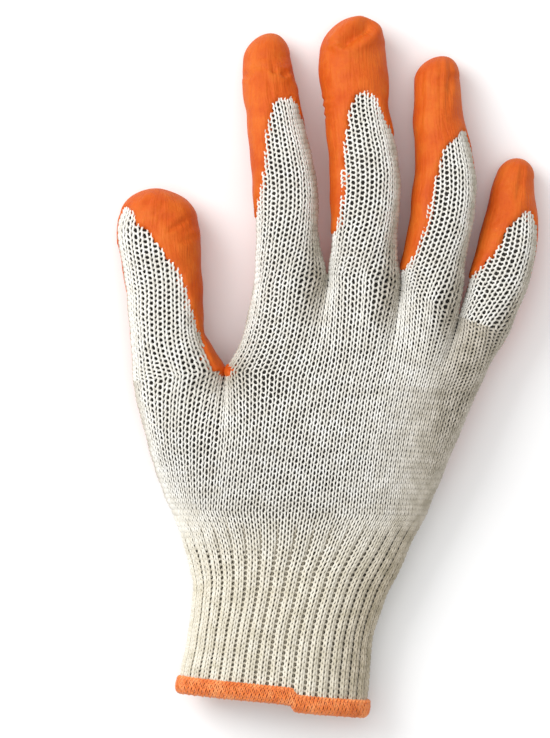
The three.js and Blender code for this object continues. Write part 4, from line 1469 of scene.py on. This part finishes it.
# %% Streaks along the fingers
def streaks_of(nodes, links, across, along):
    where = nodes.new("ShaderNodeUVMap")
    stretch = nodes.new("ShaderNodeMapping")
    stretch.inputs["Scale"].default_value = (across, along, 1)
    texture = nodes.new("ShaderNodeTexNoise")
    texture.inputs["Scale"].default_value = 1
    texture.inputs["Detail"].default_value = 4
    texture.inputs["Distortion"].default_value = 0.6
    links.new(where.outputs["UV"], stretch.inputs["Vector"])
    links.new(stretch.outputs["Vector"], texture.inputs["Vector"])
    return texture.outputs["Fac"]


def weighted(nodes, links, *parts):
    """Adds up values, each times its weight."""
    total = None
    for value, weight in parts:
        step = nodes.new("ShaderNodeMath")
        step.operation = "MULTIPLY_ADD"
        links.new(value, step.inputs[0])
        step.inputs[1].default_value = weight
        step.inputs[2].default_value = 0
        if total:
            links.new(total, step.inputs[2])
        total = step.outputs[0]
    return total


print("the coat's UV map:", coat.data.uv_layers[0].name)

# %% [markdown]
# The colour is cloudy and streaked, and the gloss breaks up a little. A trace of light goes through
# the skin and comes out again. The same streaks, clouds and fine grain, in other shares, raise the
# surface.

# %% Latex finish
STREAKS_ACROSS, STREAKS_ALONG = 3.4, 0.22
CLOUD_SCALE, FINE_SCALE = 130, 900
TONE_SHARES = (0.2, 0.6, 0.2)
GRAIN_SHARES = (0.8, 0.5, 0.35)
LATEX_TONES = [
    (0.36, (0.57, 0.078, 0.004)), (0.50, (0.63, 0.106, 0.007)), (0.64, (0.67, 0.142, 0.013))]
ROUGH_FROM, ROUGH_TO = 0.45, 0.7
GRAIN_STRENGTH, GRAIN_HEIGHT = 0.45, 0.0012


def latex_material():
    material, nodes, links, shader = new_material("dipped_latex")
    streaks = streaks_of(nodes, links, STREAKS_ACROSS, STREAKS_ALONG)
    cloud = noise_of(nodes, links, CLOUD_SCALE, 6)
    fine = noise_of(nodes, links, FINE_SCALE, 4)
    parts = (streaks, cloud, fine)
    tone = weighted(nodes, links, *zip(parts, TONE_SHARES))
    links.new(ramp_of(nodes, links, tone, LATEX_TONES), shader.inputs["Base Color"])
    rough = nodes.new("ShaderNodeMapRange")
    rough.inputs["To Min"].default_value = ROUGH_FROM
    rough.inputs["To Max"].default_value = ROUGH_TO
    links.new(fine, rough.inputs["Value"])
    links.new(rough.outputs["Result"], shader.inputs["Roughness"])
    shader.inputs["Specular IOR Level"].default_value = 0.22
    shader.inputs["Subsurface Weight"].default_value = 0.05
    shader.inputs["Subsurface Radius"].default_value = (0.002, 0.0006, 0.0003)
    height = weighted(nodes, links, *zip(parts, GRAIN_SHARES))
    bump_from(nodes, links, height, shader, GRAIN_STRENGTH, GRAIN_HEIGHT)
    return material


latex = latex_material()
print("latex finish:", latex.name)


# %% [markdown]
# Now the finishes go on the pieces. The lining gets three, and the next cell says which face has
# which.

# %% Give every piece its finish
def finish_with(obj, *materials):
    obj.data.materials.clear()
    for material in materials:
        obj.data.materials.append(material)


for name, piece in YARN.items():
    finish_with(piece, cotton_yarn)
finish_with(roll, hem_core)
finish_with(threads, hem_thread)
finish_with(coat, latex)
finish_with(lining, shade_behind, groove_shade, pale_reverse)
print("pieces with a finish:", len(YARN) + 4)

# %% [markdown]
# The lining's faces that look inwards get the pale finish. Solidify keeps the outer faces first and
# adds the inner ones after them, so their order tells them apart. The grids' faces count along the
# wales, so the remainder tells which faces of the cuff lie in a groove; these get the painted
# groove shade.

# %% Split the lining's finish
COURSES_BEHIND_HEM = 4
first = 0
which = np.full(len(lining.data.polygons), 2)
for name in SHEETS:
    wales, courses = wales_of(name), courses_of(name)
    in_groove = np.tile(np.arange(wales) % 3 == 2, courses) & (name == "cuff")
    in_groove[-COURSES_BEHIND_HEM * wales:] = False
    which[first:first + wales * courses] = in_groove
    first += wales * courses
lining.data.polygons.foreach_set("material_index", which)
lining.data.update()
print("lining faces behind holes, in grooves and inside:", np.bincount(which))

# %% [markdown]
# ## Floor and light
# A pale matt floor and soft light from the upper left, as in a catalogue picture. The floor lies a
# hair below the glove, so that nothing flickers where they touch.

# %% Floor
FLOOR_SIZE, FLOOR_GAP = 4, 0.0002
nothing_selected()
bpy.ops.mesh.primitive_grid_add(
    x_subdivisions=8, y_subdivisions=8, size=FLOOR_SIZE, location=(0, 0, -FLOOR_GAP))
floor = bpy.context.object
floor.name = "studio_floor"
floor_paint, nodes, links, shader = new_material("pale_floor")
floor_tones = [(0.3, (0.93, 0.93, 0.93)), (0.7, (0.96, 0.96, 0.96))]
grain = ramp_of(nodes, links, noise_of(nodes, links, 3), floor_tones)
links.new(grain, shader.inputs["Base Color"])
shader.inputs["Roughness"].default_value = 0.9
finish_with(floor, floor_paint)
print("floor:", floor.name)

# %% [markdown]
# A large square lamp at the upper left gives soft shadows to the lower right. A weaker one from the
# top and an even white sky fill them, so that the holes of the knit stay the darkest things in the
# picture.

# %% Light
SKY_STRENGTH = 0.56
SCENE.view_settings.view_transform = "Standard"
world = bpy.data.worlds.new("soft_studio")
SCENE.world = world
world.use_nodes = True
world.node_tree.nodes["Background"].inputs["Color"].default_value = (1, 1, 1, 1)
world.node_tree.nodes["Background"].inputs["Strength"].default_value = SKY_STRENGTH


def soft_light(name, place, size, watts):
    nothing_selected()
    bpy.ops.object.light_add(type="AREA", location=place)
    lamp = bpy.context.object
    lamp.name = name
    lamp.data.shape = "SQUARE"
    lamp.data.size = size
    lamp.data.energy = watts
    x, y, z = place
    lamp.rotation_euler = (math.atan2(math.hypot(x, y), z), 0, math.atan2(x, -y))
    return lamp


soft_light("key_upper_left", (-1.2, 0.8, 1.3), 1.2, 25)
soft_light("top", (-0.1, 0.1, 1.8), 1.5, 12)

# %% [markdown]
# ## On the body
# Every piece rides on the one body, and the plain pieces that it stands for are hidden.

# %% Ride and replace
STANDS_FOR = {
    "thumb": "knit_thumb", "index": "knit_index", "middle": "knit_middle", "ring": "knit_ring",
    "little": "knit_little", "knuckles": "knit_knuckles", "hand": "knit_hand",
    "cuff_back": "rib_cuff", "cuff_palm": "rib_cuff"}
for name, piece in YARN.items():
    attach(piece, "root")
    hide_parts(STANDS_FOR[name])
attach(lining, "root")
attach(coat, "root")
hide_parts("latex_palm", *("latex_" + name for name in FINGERS))
for piece in (roll, threads):
    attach(piece, "root")
    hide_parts("hem_overlock")
for piece in (*YARN.values(), lining, coat, roll, threads):
    triangles = sum(len(face.vertices) - 2 for face in piece.data.polygons)
    print(f"{piece.name}: {triangles} triangles")
